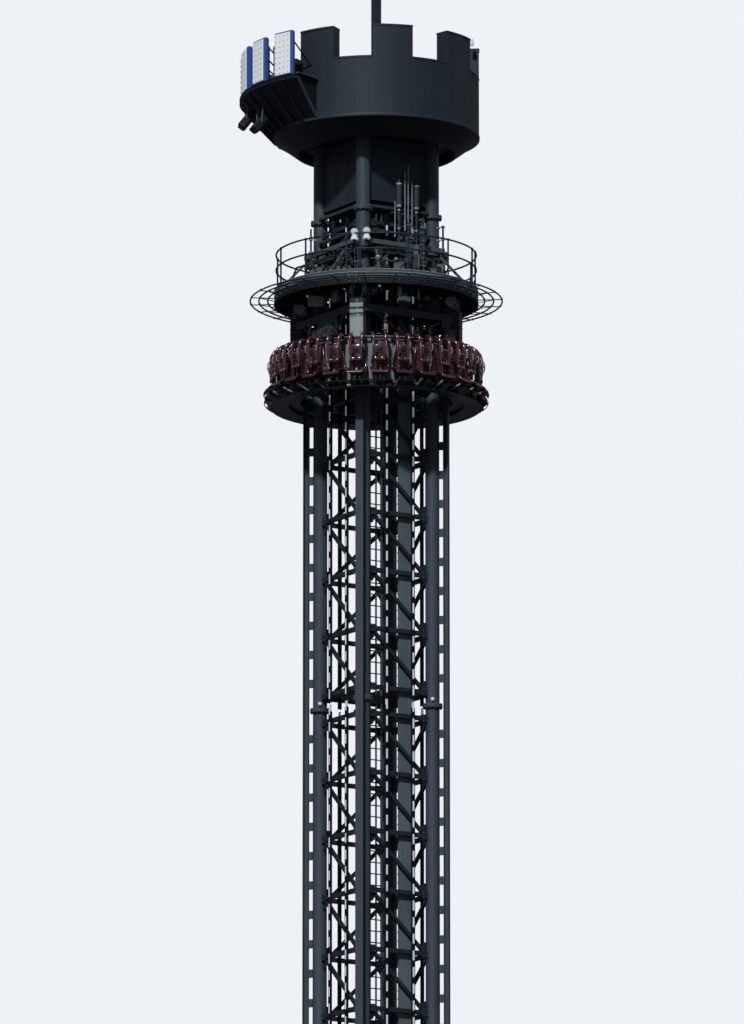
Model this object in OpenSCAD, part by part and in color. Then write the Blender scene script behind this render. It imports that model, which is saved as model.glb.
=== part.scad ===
// Drop tower ride with a turning ring of outward facing seats, as a 1:2 scale model.
// +Z is up, the origin lies on the underside of the base frame at the tower's axis.

/* [Shaft] */
// Height of one shaft section, flange to flange
section_height = 6540; // [6000:10:7200]
// Number of shaft sections
section_count = 5; // [4:1:5]
// Distance between neighbouring column centres
column_spacing = 1066; // [1020:2:1120]
// Outside diameter of a column tube
column_diameter = 186; // [160:2:210]
// Wall of a column tube
column_wall = 10; // [6:1:16]
// Diameter of a column flange
flange_diameter = 262; // [240:2:280]
// Thickness of a column flange
flange_thickness = 24; // [16:1:32]

/* [Bracing] */
// Bays of bracing in one section
bay_count = 8; // [6:1:9]
// Height of the first crosspiece above a section's lower flange face
splice_height = 174; // [140:2:220]
// Side of a square crosspiece
crosspiece_size = 56; // [44:2:64]
// Width of a diagonal, seen from the front of its face
diagonal_width = 48; // [36:2:56]
// Depth of a diagonal
diagonal_depth = 36; // [24:2:42]
// Length of a gusset plate along the column and the crosspiece
gusset_size = 150; // [110:5:190]
// Thickness of a gusset plate
gusset_thickness = 14; // [10:1:20]

/* [Guide rails] */
// Gap between a column and the back of its rail, which the brackets bridge
rail_standoff = 58; // [48:1:70]
// Depth of a rail, from its back to its running face
rail_depth = 70; // [60:1:80]
// Width of a rail's head
rail_head_width = 104; // [90:2:116]
// Thickness of a rail's head
rail_head_thickness = 14; // [10:1:18]
// Width of a rail's foot
rail_foot_width = 70; // [56:2:80]
// Thickness of a rail's web and foot
rail_web = 12; // [8:1:16]
// Brackets behind a rail in each bay
brackets_per_bay = 2; // [1:1:3]
// Height of a rail bracket
bracket_height = 106; // [80:2:130]
// Width of a rail bracket
bracket_width = 38; // [30:2:50]
// Height of a rail's lower end over the base
rail_start = 130; // [100:5:200]

/* [Light strips] */
// Distance of each light strip from the middle of its face
strip_offset = 203; // [150:1:260]
// Width of a light strip's carrier
strip_width = 44; // [36:1:56]
// Depth of a light strip's carrier
strip_depth = 34; // [26:1:40]
// Wall of a light strip's carrier
strip_wall = 5; // [4:1:8]
// Gap between the light strips and the deck that they pass through
strip_clearance = 11; // [8:1:20]

/* [Ladder and riser] */
// Distance of the ladder from the shaft's centre line, along its face
ladder_offset = 262; // [240:1:280]
// Width of the ladder over its stringers
ladder_width = 190; // [170:2:210]
// Distance between rungs
rung_spacing = 150; // [130:1:170]
// Diameter of a rung
rung_diameter = 16; // [12:1:20]
// Width of a stringer
stringer_width = 14; // [10:1:18]
// Depth of a stringer
stringer_depth = 34; // [26:1:40]
// Gap between the face's crosspieces and the ladder
ladder_standoff = 84; // [70:1:100]
// Distance of the cable riser from the shaft's centre line
riser_offset = 150; // [140:1:170]
// Width of the cable riser
riser_width = 226; // [200:2:240]
// Depth of the cable riser
riser_depth = 46; // [38:1:56]
// Distance between the cable riser's ribs
rib_spacing = 109; // [90:1:130]
// Height of a rib of the cable riser
rib_height = 34; // [24:1:44]

/* [Base] */
// Diameter of a base plate under a column
base_plate_diameter = 360; // [320:5:400]
// Thickness of the base plates
base_plate_thickness = 40; // [30:1:50]
// Width of the beams that tie the base plates
base_beam_width = 120; // [90:5:150]
// Height of the beams that tie the base plates
base_beam_height = 150; // [120:5:180]

/* [Deck] */
// Depth of the service deck below the shaft's top flange
deck_drop = 1035; // [1000:5:1100]
// Diameter of the service deck
deck_diameter = 2684; // [2620:4:2760]
// Thickness of the deck plate
deck_plate = 16; // [12:1:24]
// Height of the band round the deck's rim
deck_band_height = 108; // [90:1:130]
// Thickness of the band round the deck's rim
deck_band_thickness = 14; // [10:1:20]
// Height of the deck's railing
railing_height = 580; // [540:5:620]
// Height of the railing's middle rail
railing_middle = 362; // [300:1:400]
// Diameter of the railing's tubes
railing_tube = 24; // [20:1:30]
// Posts of the railing on each quarter of the deck
posts_per_quarter = 4; // [3:1:6]
// Radii of the three guard rings outside the deck, as distances from its rim
guard_steps = [86, 203, 316];
// Diameter of the guard rings' tubes
guard_tube = 22; // [18:1:26]
// Spokes that carry the guard rings on each quarter of the deck
spokes_per_quarter = 6; // [4:1:8]

/* [Head] */
// Height of the cladding's lower edge above the shaft's top flange
cladding_start = 128; // [110:1:160]
// Thickness of the head's cladding
cladding_thickness = 20; // [14:1:28]
// Height of the ring beam above the deck
head_beam_rise = 430; // [400:5:460]
// Side of the ring beam's square section
head_beam_size = 64; // [50:2:76]
// Diameter of a rope sheave under the deck
sheave_diameter = 150; // [120:2:160]
// Thickness of a rope sheave
sheave_thickness = 30; // [24:1:36]
// Depth of the sheaves' axles below the deck's top
sheave_drop = 115; // [100:1:120]
// Distance between the two sheaves at a column
sheave_spacing = 170; // [150:2:190]
// Diameter of a sheave's axle
sheave_axle = 30; // [24:1:40]
// Distances of the two antenna masts from the middle of the front face
antenna_places = [-57, 214];
// Height of an antenna mast above the ring beam
antenna_mast_height = 600; // [560:10:660]
// Height of an antenna's cover
antenna_cover_height = 325; // [280:5:360]
// Diameter of an antenna's cover
antenna_diameter = 72; // [60:2:84]
// Length of the whip on an antenna's cover
antenna_whip = 150; // [120:5:180]

/* [Crown] */
// Height of the crown wall's lower edge above the shaft's top flange
crown_rise = 1112; // [1080:2:1160]
// Outside diameter of the crown wall
crown_diameter = 2720; // [2660:4:2780]
// Thickness of the hollow crown wall, over its two skins
crown_wall_thickness = 196; // [150:2:230]
// Thickness of the crown wall's skins
crown_skin = 8; // [6:1:12]
// Height of the crown wall without its merlons
crown_wall_height = 796; // [740:2:860]
// Height of a merlon
merlon_height = 425; // [380:5:470]
// Number of merlons
merlon_count = 8; // [8:1:8]
// Share of the wall's round that merlons take up
merlon_share = 0.5; // [0.4:0.01:0.6]
// Depth of the cone under the crown wall
cone_depth = 217; // [190:1:240]
// Diameter of the cone's lower edge
cone_lower_diameter = 2132; // [2080:4:2180]
// Depth of the recess inside the cone
recess_depth = 110; // [90:1:140]
// Thickness of the crown's floor
crown_floor_thickness = 30; // [20:1:40]
// Side of the square mast
mast_size = 97; // [80:1:110]
// Height of the mast above the crown's floor
mast_height = 2760; // [2500:10:2900]

/* [Sign shelf] */
// Direction of the middle of the sign shelf, from +X
sign_direction = 135; // [130:1:140]
// Angle that the sign shelf spans
sign_span = 136; // [120:1:140]
// Height of the shelf's top above the crown wall's lower edge
sign_rise = 526; // [480:2:560]
// Reach of the shelf from the crown wall
sign_reach = 440; // [400:5:480]
// Thickness of the shelf at its outer edge
sign_lip = 60; // [50:1:80]
// Height of a blank light panel
panel_height = 610; // [560:5:640]
// Width of a blank light panel
panel_width = 330; // [300:5:360]
// Thickness of a blank light panel
panel_thickness = 90; // [70:2:110]
// Number of blank light panels
panel_count = 8; // [7:1:8]

/* [Carriage] */
// Distance from the deck's top down to the top of the carriage at rest
carriage_drop = 256; // [246:1:300]
// Height of the carriage, from its top to the gondola's underside
carriage_height = 1232; // [1200:2:1280]
// Width of a carriage post
post_width = 171; // [150:1:186]
// Depth of a carriage post
post_depth = 150; // [136:1:170]
// Wall of a carriage post
post_wall = 12; // [8:1:16]
// Height of a carriage beam
beam_height = 96; // [80:2:110]
// Depth of a carriage beam
beam_depth = 60; // [50:1:70]
// Height of the lower beams above the slewing ring
lower_beam_rise = 260; // [240:5:280]
// Depth of the upper beams below the carriage's top
upper_beam_drop = 60; // [40:5:90]
// Side of a carriage brace
brace_size = 28; // [20:2:34]
// Diameter of a guide wheel
wheel_diameter = 88; // [76:2:90]
// Thickness of a guide wheel
wheel_thickness = 34; // [26:1:40]
// Widths of the cabinets hung on the four sides of the carriage
cabinet_widths = [170, 520, 170, 520];
// Distances of the cabinets from the middle of their side
cabinet_places = [570, 121, 570, 121];
// Height of a cabinet
cabinet_height = 150; // [120:5:180]
// Depth of a cabinet
cabinet_depth = 86; // [60:2:90]
// Depth of a cabinet's lower edge below the beam that it hangs on
cabinet_drop = 273; // [260:1:290]

/* [Seat ring] */
// Number of seats
seat_count = 28; // [28:1:28]
// Turn of the seat ring at rest, from +X to the first seat
ring_turn = 8.5; // [0:0.5:12]
// Seats on each bolted segment of the ring
seats_per_segment = 2; // [2:1:2]
// Height of the turning ring's back wall
ring_wall_height = 690; // [660:5:700]
// Thickness of the back wall
ring_wall_thickness = 15; // [12:1:20]
// Height of the slewing ring
slew_height = 90; // [80:1:110]
// Height of the slewing ring's groove
groove_height = 36; // [28:1:44]
// Depth of the slewing ring's groove
groove_depth = 24; // [20:1:30]
// Reach of the ring's floor ribs from the back wall
rib_reach = 340; // [320:2:360]
// Thickness of a floor rib
floor_rib = 12; // [10:1:16]
// Thickness of the spine behind each seat
spine_thickness = 12; // [10:1:16]
// Width of the spine behind each seat
spine_width = 60; // [50:2:80]
// Distance between the two struts under each seat
strut_spacing = 90; // [80:2:100]
// Side of a strut's square section
strut_size = 18; // [14:1:24]
// Diameter of the lightening holes in a floor rib
rib_hole = 56; // [40:2:64]
// Length of the plates that join two ring segments
joint_plate_length = 112; // [90:2:120]
// Height of the plates that join two ring segments
joint_plate_height = 66; // [50:2:70]
// Thickness of the plates that join two ring segments
joint_plate_thickness = 14; // [10:1:18]

/* [Seats] */
// Width of a seat over its bolsters
seat_width = 236; // [224:1:240]
// Width of a seat's head end
head_width = 116; // [100:2:128]
// Height of the seat's back above its pan
back_height = 473; // [450:1:490]
// Depth of the seat's pan
pan_depth = 300; // [285:1:310]
// Height of the pan above the gondola's underside
pan_rise = 172; // [165:1:190]
// Thickness of the moulded shell
shell_thickness = 22; // [16:1:28]
// Thickness of the bolsters at the seat's sides
bolster_thickness = 18; // [14:1:22]
// Radius of the round between the seat's back and its pan
seat_corner = 60; // [40:2:70]
// Height of the bolsters beside the pan
bolster_height = 66; // [50:1:80]
// Reach of the bolsters beside the back
bolster_reach = 84; // [70:1:100]
// Thickness of a seat pad
pad_thickness = 20; // [14:1:26]

/* [Restraints] */
// Outside diameter of a restraint's tubes
restraint_tube = 26; // [22:1:30]
// Outside diameter of the padding on a restraint's arms
restraint_padding = 44; // [38:1:48]
// Width between the centres of a restraint's two arms
restraint_width = 152; // [140:2:160]
// Height, below the pivot, where a restraint's bend runs out into its straight arms
shoulder_drop = 50; // [40:1:60]
// Reach of a restraint from its pivot over the shoulders
restraint_reach = 154; // [144:1:164]
// Length of a restraint down from the shoulders
restraint_length = 340; // [320:2:360]
// Height of a restraint's chest pad
chest_pad_height = 120; // [100:2:140]
// Thickness of a restraint's chest pad
chest_pad_thickness = 32; // [26:1:38]
// Reach of a restraint's hand loops from its arms
hand_loop_reach = 45; // [40:1:50]
// Diameter of a restraint's pivot pins
pivot_pin = 13; // [10:1:16]

/* [Fits] */
// Seat gap between pieces that rest on each other
fit = 0.3; // [0.2:0.05:0.5]
// Running gap between pieces that move past each other
running = 6; // [5:0.5:8]

/* [Hidden] */

function restraint_name(i) = str("restraint_", i < 10 ? "0" : "", i);

$fn = 48;
few_sides = 8;

// Shaft levels and distances from the axis
half_spacing = column_spacing / 2;
column_radius = column_diameter / 2;
column_reach = half_spacing * sqrt(2);
shaft_top = section_count * section_height;
bay_height = (section_height - 2 * splice_height) / bay_count;
face_half = half_spacing - column_radius - fit;
face_inner = half_spacing - crosspiece_size / 2;
face_outer = half_spacing + crosspiece_size / 2;

// Guide rails stand on each column's outward diagonal
rail_back = column_reach + column_radius + rail_standoff;
rail_face = rail_back + rail_depth;
deck_level = shaft_top - deck_drop;
deck_radius = deck_diameter / 2;
carriage_top = deck_level - carriage_drop;
gondola_bottom = carriage_top - carriage_height;
rail_end = carriage_top + 50;

// Crown levels
crown_bottom = shaft_top + crown_rise;
crown_radius = crown_diameter / 2;
cone_bottom = crown_bottom - cone_depth;
recess_top = cone_bottom + recess_depth;
crown_floor_top = recess_top + crown_floor_thickness;
panel_angle = sign_span / panel_count;

// Carriage and ring radii, from the rails outward
post_inner = rail_face + 15;
post_outer = post_inner + post_depth;
beam_back = (post_inner + post_width / 2) / sqrt(2) + 4;
slew_inner = post_inner + 10;
slew_outer = post_outer;
slew_bottom = gondola_bottom + 60;
slew_top = slew_bottom + slew_height;
groove_bottom = slew_bottom + (slew_height - groove_height) / 2;
ring_inner = slew_outer + running;
wall_outer = ring_inner + ring_wall_thickness;
wall_bottom = gondola_bottom + 23;
segment_count = seat_count / seats_per_segment;
segment_angle = 360 / segment_count;
seat_angle = 360 / seat_count;

// Seat levels
spine_face = wall_outer + fit;
seat_back_face = spine_face + spine_thickness + fit;
pan_level = gondola_bottom + pan_rise;
back_top = pan_level + back_height;
pivot_height = back_top + 32;
pivot_out = seat_back_face + 52;
arm_out = restraint_width / 2 + restraint_tube / 2 + 4;
lug_thickness = 12;

// Turns children to each of the four column diagonals
module at_diagonals() {
    for (k = [0:3]) rotate([0, 0, 45 + 90 * k]) children();
}

// Turns children, drawn for the south face, to the face number k
module on_face(k) {
    rotate([0, 0, 90 * k]) children();
}

// A block between two heights, given its corner distances along X and Y
module block(x0, x1, y0, y1, z0, z1) {
    translate([x0, y0, z0]) cube([x1 - x0, y1 - y0, z1 - z0]);
}

// A ring sector of the given radial profile, centred on +X
module ring_sector(angle, gap_radius) {
    cut = fit / gap_radius * 180 / PI;
    rotate([0, 0, -angle / 2 + cut / 2])
        rotate_extrude(angle = angle - cut, $fn = 96) children();
}

// Cross-section of a bent tube with flat sides, centred on the point (x, 0)
module tube_section(x, d) {
    polygon([for (i = [0:few_sides - 1]) let (a = (i + 0.5) * 360 / few_sides)
        [x + cos(a) * d / 2, sin(a) * d / 2]]);
}

// Base

module base_frame() {
    color("dimgray") {
        for (x = [-half_spacing, half_spacing], y = [-half_spacing, half_spacing])
            translate([x, y, 0]) cylinder(d = base_plate_diameter, h = base_plate_thickness);
        difference() {
            for (a = [45, 135])
                rotate([0, 0, a])
                    block(-column_reach, column_reach, -base_beam_width / 2, base_beam_width / 2,
                        0, base_beam_height);
            for (x = [-half_spacing, half_spacing], y = [-half_spacing, half_spacing])
                translate([x, y, base_plate_thickness])
                    cylinder(d = flange_diameter + 2 * fit, h = base_beam_height);
        }
        for (k = [0:3]) on_face(k)
            block(-half_spacing, half_spacing, -half_spacing - base_beam_width / 2,
                -half_spacing + base_beam_width / 2, 0, base_plate_thickness);
    }
}

// Shaft

module column_length(z0, z1) {
    difference() {
        union() {
            translate([0, 0, z0]) cylinder(d = column_diameter, h = z1 - z0);
            translate([0, 0, z0]) cylinder(d = flange_diameter, h = flange_thickness);
            translate([0, 0, z1 - flange_thickness])
                cylinder(d = flange_diameter, h = flange_thickness);
        }
        translate([0, 0, z0 - 1])
            cylinder(d = column_diameter - 2 * column_wall, h = z1 - z0 + 2);
    }
}

module column(x, y) {
    color("darkslategray") translate([x * half_spacing, y * half_spacing, 0]) {
        column_length(base_plate_thickness + fit, section_height - fit / 2);
        for (k = [1:section_count - 1])
            column_length(k * section_height + fit / 2, (k + 1) * section_height - fit / 2);
        column_length(shaft_top + fit / 2, recess_top - fit);
    }
}

// One welded panel of bracing, drawn on the south face
module lattice_panel(z0) {
    first = z0 + splice_height;
    for (i = [0:bay_count])
        block(-face_half, face_half, -half_spacing - crosspiece_size / 2,
            -half_spacing + crosspiece_size / 2,
            first + i * bay_height - crosspiece_size / 2,
            first + i * bay_height + crosspiece_size / 2);
    run = 2 * face_half - diagonal_width;
    for (i = [0:bay_count - 1])
        translate([0, -half_spacing, first + (i + 0.5) * bay_height])
            rotate([0, atan(bay_height / run), 0])
                cube([norm([run, bay_height]), diagonal_depth, diagonal_width], center = true);
    for (i = [0:bay_count - 1]) {
        gusset(-1, first + (i + 1) * bay_height, -1);
        gusset(1, first + i * bay_height, 1);
    }
}

// A corner plate on the side s of the face, reaching up or down from a crosspiece
module gusset(s, z, up) {
    translate([0, -half_spacing + gusset_thickness / 2, z])
        rotate([90, 0, 0]) linear_extrude(gusset_thickness)
            polygon([[s * face_half, 0], [s * face_half, up * gusset_size],
                [s * (face_half - 45), up * gusset_size], [s * (face_half - gusset_size), 0]]);
}

module lattice(k) {
    color("darkslategray") on_face(k)
        for (i = [0:section_count - 1]) lattice_panel(i * section_height);
}

// Rail profile, with x pointing out from the axis
module rail_profile() {
    foot = rail_back + rail_web;
    head = rail_face - rail_head_thickness;
    polygon([[rail_back, -rail_foot_width / 2], [foot, -rail_foot_width / 2],
        [foot, -rail_web / 2], [head, -rail_web / 2], [head, -rail_head_width / 2],
        [rail_face, -rail_head_width / 2], [rail_face, rail_head_width / 2],
        [head, rail_head_width / 2], [head, rail_web / 2], [foot, rail_web / 2],
        [foot, rail_foot_width / 2], [rail_back, rail_foot_width / 2]]);
}

module guide_rails() {
    pitch = bay_height / brackets_per_bay;
    back = column_reach + column_radius + fit;
    color("slategray") at_diagonals() for (k = [0:section_count - 1]) {
        z0 = k == 0 ? rail_start : k * section_height + fit / 2;
        z1 = k == section_count - 1 ? rail_end : (k + 1) * section_height - fit / 2;
        translate([0, 0, z0]) linear_extrude(z1 - z0) rail_profile();
        first = k * section_height + splice_height + pitch / 2;
        for (z = [first:pitch:z1 - pitch / 2])
            block(back, rail_back + rail_web / 2, -bracket_width / 2, bracket_width / 2,
                z - bracket_height / 2, z + bracket_height / 2);
    }
}

// Carriers of the light strips, channels that open outward
module light_strips() {
    back = face_outer + fit;
    front = back + strip_depth;
    color("black") for (f = [0:3]) on_face(f)
        for (s = [-1, 1], k = [0:section_count - 1])
            translate([s * strip_offset, 0, k * section_height + 60])
                linear_extrude(section_height - 120)
                    polygon([[-strip_width / 2, -back], [-strip_width / 2, -front],
                        [-strip_width / 2 + strip_wall, -front],
                        [-strip_width / 2 + strip_wall, -back - strip_wall],
                        [strip_width / 2 - strip_wall, -back - strip_wall],
                        [strip_width / 2 - strip_wall, -front], [strip_width / 2, -front],
                        [strip_width / 2, -back]]);
}

// Floor plates inside the shaft, level with the crosspieces next to each splice
module landings() {
    edge = face_inner - fit;
    color("black") for (k = [1:section_count])
        translate([0, 0, k * section_height + (k == section_count ? -1 : 1) * splice_height])
            difference() {
                block(-edge, edge, -edge, edge, -8, 8);
                for (x = [-half_spacing, half_spacing], y = [-half_spacing, half_spacing])
                    translate([x, y, -20]) cylinder(r = column_radius + fit, h = 40);
                block(-ladder_offset - ladder_width / 2 - 15, -ladder_offset + ladder_width / 2 + 15,
                    -edge - 5, 0, -20, 20);
                block(riser_offset - riser_width / 2 - 10, riser_offset + riser_width / 2 + 10,
                    -edge - 5, -edge + riser_depth + 60, -20, 20);
            }
}

module ladder() {
    front = -face_inner + ladder_standoff;
    half = ladder_width / 2;
    color("silver") translate([-ladder_offset, 0, 0]) for (k = [0:section_count - 1]) {
        z0 = k == 0 ? base_beam_height + 20 : k * section_height + fit / 2;
        z1 = (k + 1) * section_height - fit / 2;
        for (s = [-1, 1])
            block(s * half - (s + 1) * stringer_width / 2, s * half - (s - 1) * stringer_width / 2,
                front, front + stringer_depth, z0, z1);
        block(-9, 9, front - 4, front + 14, z0, z1);
        for (z = [z0 + rung_spacing / 2:rung_spacing:z1 - rung_spacing / 3])
            translate([-half + stringer_width / 2, front + stringer_depth / 2, z])
                rotate([0, 90, 0])
                    cylinder(d = rung_diameter, h = ladder_width - stringer_width);
        for (i = [1:2:bay_count], s = [-1, 1]) {
            z = k * section_height + splice_height + i * bay_height;
            block(s * half - (s + 1) * stringer_width / 2, s * half - (s - 1) * stringer_width / 2,
                -face_inner + fit, front + stringer_depth / 2, z - 14, z + 14);
        }
    }
}

module cable_riser() {
    back = face_inner - fit;
    skin = riser_depth - 12;
    ribs = floor((section_height - 40) / rib_spacing);
    color("darkseagreen") for (k = [0:section_count - 1]) {
        z0 = k == 0 ? base_plate_thickness + 20 : k * section_height + fit / 2;
        count = k == 0 ? ribs - 1 : ribs;
        comb = [for (i = [0:count - 1]) let (z = i * rib_spacing + 20)
            each [[skin, z], [riser_depth, z + 6], [riser_depth, z + rib_height - 6],
                [skin, z + rib_height]]];
        length = (k + 1) * section_height - fit / 2 - z0;
        translate([riser_offset + riser_width / 2, -back, z0])
            rotate([90, 0, -90]) linear_extrude(riser_width)
                mirror([1, 0]) polygon(concat([[0, 0], [skin, 0]], comb, [[skin, length], [0, length]]));
    }
}

// Deck

// One quarter of the deck, drawn towards +X with its joints on the column diagonals
module deck() {
    inner = face_outer + fit + strip_depth + strip_clearance;
    color("gray") for (f = [0:3]) on_face(f) difference() {
        union() {
            translate([0, 0, deck_level - deck_plate]) ring_sector(90, deck_radius)
                square([deck_radius, deck_plate]);
            translate([0, 0, deck_level - deck_band_height]) ring_sector(90, deck_radius)
                translate([deck_radius - deck_band_thickness, 0])
                    square([deck_band_thickness, deck_band_height - deck_plate / 2]);
            for (a = [-34, -17, 0, 17, 34]) rotate([0, 0, a])
                block(inner / cos(a) + 10, deck_radius - deck_band_thickness / 2, -6, 6,
                    deck_level - deck_band_height + 20, deck_level - deck_plate / 2);
        }
        block(-1, inner, -inner * 2, inner * 2, deck_level - 200, deck_level + 50);
        for (s = [-1, 1])
            translate([half_spacing, s * half_spacing, deck_level - 200])
                cylinder(r = column_radius + fit, h = 300);
    }
}

module railing() {
    r = deck_radius - railing_tube;
    margin = 2;
    color("slategray") for (f = [0:3]) on_face(f) {
        for (z = [railing_middle, railing_height - railing_tube / 2])
            translate([0, 0, deck_level + z]) ring_sector(90 - margin, r)
                tube_section(r, railing_tube);
        for (i = [0:posts_per_quarter - 1])
            rotate([0, 0, -45 + 2 * margin + i * (90 - 4 * margin) / (posts_per_quarter - 1)])
                translate([r, 0, deck_level + fit])
                    cylinder(d = railing_tube, h = railing_height - railing_tube / 2, $fn = few_sides);
    }
}

module guard_rings() {
    outer = deck_radius + guard_steps[len(guard_steps) - 1];
    z = deck_level - deck_band_height / 2;
    margin = 1;
    color("slategray") translate([0, 0, z]) for (f = [0:3]) on_face(f) {
        for (step = guard_steps)
            ring_sector(90 - margin, deck_radius) tube_section(deck_radius + step, guard_tube);
        for (i = [0:spokes_per_quarter - 1])
            rotate([0, 0, -45 + (i + 0.5) * 90 / spokes_per_quarter])
                block(deck_radius + fit, outer, -5, 5, -16, 0);
    }
}

// Head

// Square ring beam round the columns with braces down to the deck
module head_frame() {
    inner = half_spacing + column_radius + fit;
    outer = inner + head_beam_size;
    z = deck_level + head_beam_rise;
    foot = 1120;
    color("slategray") for (f = [0:3]) on_face(f) {
        translate([0, 0, z]) linear_extrude(head_beam_size)
            polygon([[-inner + fit, -inner], [inner - fit, -inner], [outer - fit, -outer],
                [-outer + fit, -outer]]);
        for (x = [-420, 420]) translate([x, 0, 0]) rotate([90, 0, 90])
            translate([0, 0, -15]) linear_extrude(30)
                polygon([[-inner - 12, z + 2], [-outer + 4, z + 2], [-foot, deck_level + 40],
                    [-foot, deck_level + fit], [-foot + 80, deck_level + fit]]);
        for (x = [-420, 420])
            block(x - 15, x + 15, -inner - 40, -inner - 8, deck_level + fit, z + 4);
    }
}

// Outline of half an antenna: mast, cover and whip
module antenna_outline() {
    cover = antenna_diameter / 2;
    mast = cover / 3;
    whip = cover / 8;
    z = antenna_mast_height;
    top = z + antenna_cover_height;
    polygon([[0, 0], [cover, 0], [cover, mast], [mast, mast], [mast, z], [cover / 2, z],
        [cover, z + cover / 2], [cover, top - cover / 2], [cover - mast, top], [whip, top + cover],
        [whip, top + antenna_whip], [0, top + antenna_whip]]);
}

// Two antenna masts that stand on the ring beam's front side
module antennas() {
    middle = half_spacing + column_radius + fit + head_beam_size / 2;
    color("slategray") for (x = antenna_places)
        translate([x, -middle, deck_level + head_beam_rise + head_beam_size + fit])
            rotate_extrude() antenna_outline();
}

// Outline of half a sheave, with the groove for its rope
module sheave_outline() {
    edge = sheave_diameter / 2;
    half = sheave_thickness / 2;
    hub = sheave_axle / 2 + fit;
    polygon([[hub, -half], [hub + 14, -half], [hub + 18, -6], [edge - 16, -6], [edge - 12, -half],
        [edge, -half], [edge - 10, 0], [edge, half], [edge - 12, half], [edge - 16, 6],
        [hub + 18, 6], [hub + 14, half], [hub, half]]);
}

// Rope sheaves under the deck, a pair at each column, each between two hanger plates
module head_sheaves() {
    top = deck_level - deck_plate - fit;
    cheek = 8;
    color("lightgray") at_diagonals() for (s = [-1, 1])
        translate([rail_face + 50, s * sheave_spacing / 2, deck_level - sheave_drop]) {
            rotate([90, 0, 0]) rotate_extrude() sheave_outline();
            for (side = [-1, 1])
                translate([-22, side * (sheave_thickness / 2 + fit + cheek / 2) - cheek / 2, -20])
                    cube([44, cheek, top - deck_level + sheave_drop + 20]);
            rotate([90, 0, 0])
                cylinder(d = sheave_axle, h = sheave_thickness + 2 * cheek + 2 * fit, center = true);
        }
}

module head_cladding() {
    outer = half_spacing + cladding_thickness / 2;
    inner = half_spacing - cladding_thickness / 2;
    color("darkslategray") for (f = [0:3]) on_face(f)
        block(-face_half, face_half, -outer, -inner, shaft_top + cladding_start,
            recess_top - flange_thickness - 2 * fit);
}

// Crown

// A piece of the wall and its merlon, shrunk on all sides but the lowest by a margin
module crown_piece(margin) {
    inner = crown_radius - crown_wall_thickness + margin;
    trim = margin / inner * 180 / PI;
    part_angle = 360 / merlon_count;
    notch_angle = part_angle * (1 - merlon_share);
    difference() {
        ring_sector(part_angle - 2 * trim, crown_radius) translate([inner, -margin])
            square([crown_wall_thickness - 2 * margin, crown_wall_height + merlon_height]);
        for (s = [-1, 1])
            rotate([0, 0, s * (part_angle / 2 - trim)])
                ring_sector(notch_angle, crown_radius) translate([inner - 20, crown_wall_height - margin])
                    square([crown_wall_thickness + 40, merlon_height + 20]);
    }
}

// Hollow pieces of cladding, each with one merlon and open below
module crown_wall() {
    color("darkslategray") for (i = [0:merlon_count - 1])
        rotate([0, 0, (i + 0.5) * 360 / merlon_count]) translate([0, 0, crown_bottom + fit])
            difference() {
                crown_piece(0);
                crown_piece(crown_skin);
            }
}

module crown_floor() {
    lower = cone_lower_diameter / 2;
    color("black") rotate_extrude($fn = 96)
        polygon([[0, recess_top], [lower - 40, recess_top], [lower - 40, cone_bottom],
            [lower, cone_bottom], [crown_radius, crown_bottom],
            [crown_radius - crown_wall_thickness, crown_bottom],
            [lower - 10, crown_floor_top], [0, crown_floor_top]]);
}

module mast() {
    base = crown_floor_top + fit;
    color("dimgray") {
        translate([0, 0, base]) cylinder(d = 3 * mast_size, h = 20);
        block(-mast_size / 2, mast_size / 2, -mast_size / 2, mast_size / 2, base, base + mast_height);
    }
}

module sign_shelf() {
    inner = crown_radius + fit;
    outer = crown_radius + sign_reach;
    top = crown_bottom + sign_rise;
    color("black") for (i = [0:panel_count - 1])
        rotate([0, 0, sign_direction - sign_span / 2 + (i + 0.5) * panel_angle])
            ring_sector(panel_angle, outer)
                polygon([[inner, top], [outer, top], [outer, top - sign_lip],
                    [inner, crown_bottom + 20]]);
}

module sign_panels() {
    r = crown_radius + sign_reach - panel_thickness - 10;
    color("white") for (i = [0:panel_count - 1])
        rotate([0, 0, sign_direction - sign_span / 2 + (i + 0.5) * panel_angle])
            block(r, r + panel_thickness, -panel_width / 2, panel_width / 2,
                crown_bottom + sign_rise + fit, crown_bottom + sign_rise + panel_height);
}

// Carriage

// A post is a channel that opens towards its guide rail
module carriage_post() {
    w = post_width / 2;
    translate([0, 0, slew_top + fit]) linear_extrude(carriage_top - slew_top - fit)
        polygon([[post_inner, -w], [post_outer, -w], [post_outer, w], [post_inner, w],
            [post_inner, w - post_wall], [post_outer - post_wall, w - post_wall],
            [post_outer - post_wall, -w + post_wall], [post_inner, -w + post_wall]]);
}

// A beam between two posts, on the south face, with its ends cut along the posts' walls
module carriage_beam(z) {
    wall = post_width / 2 * sqrt(2) + fit * sqrt(2);
    back = beam_back;
    translate([0, 0, z]) linear_extrude(beam_height)
        polygon([[-back + wall, -back], [back - wall, -back],
            [back + beam_depth - wall, -back - beam_depth],
            [-back - beam_depth + wall, -back - beam_depth]]);
}

// Crossed braces between the upper and lower beam of one side
module carriage_brace(z0, z1) {
    wall = post_width / 2 * sqrt(2);
    run = 2 * (beam_back - wall - brace_size);
    rise = z1 - z0;
    for (s = [-1, 1])
        translate([0, -beam_back - beam_depth / 2, (z0 + z1) / 2])
            rotate([0, s * atan(rise / run), 0])
                cube([norm([run, rise]), brace_size, brace_size], center = true);
}

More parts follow.
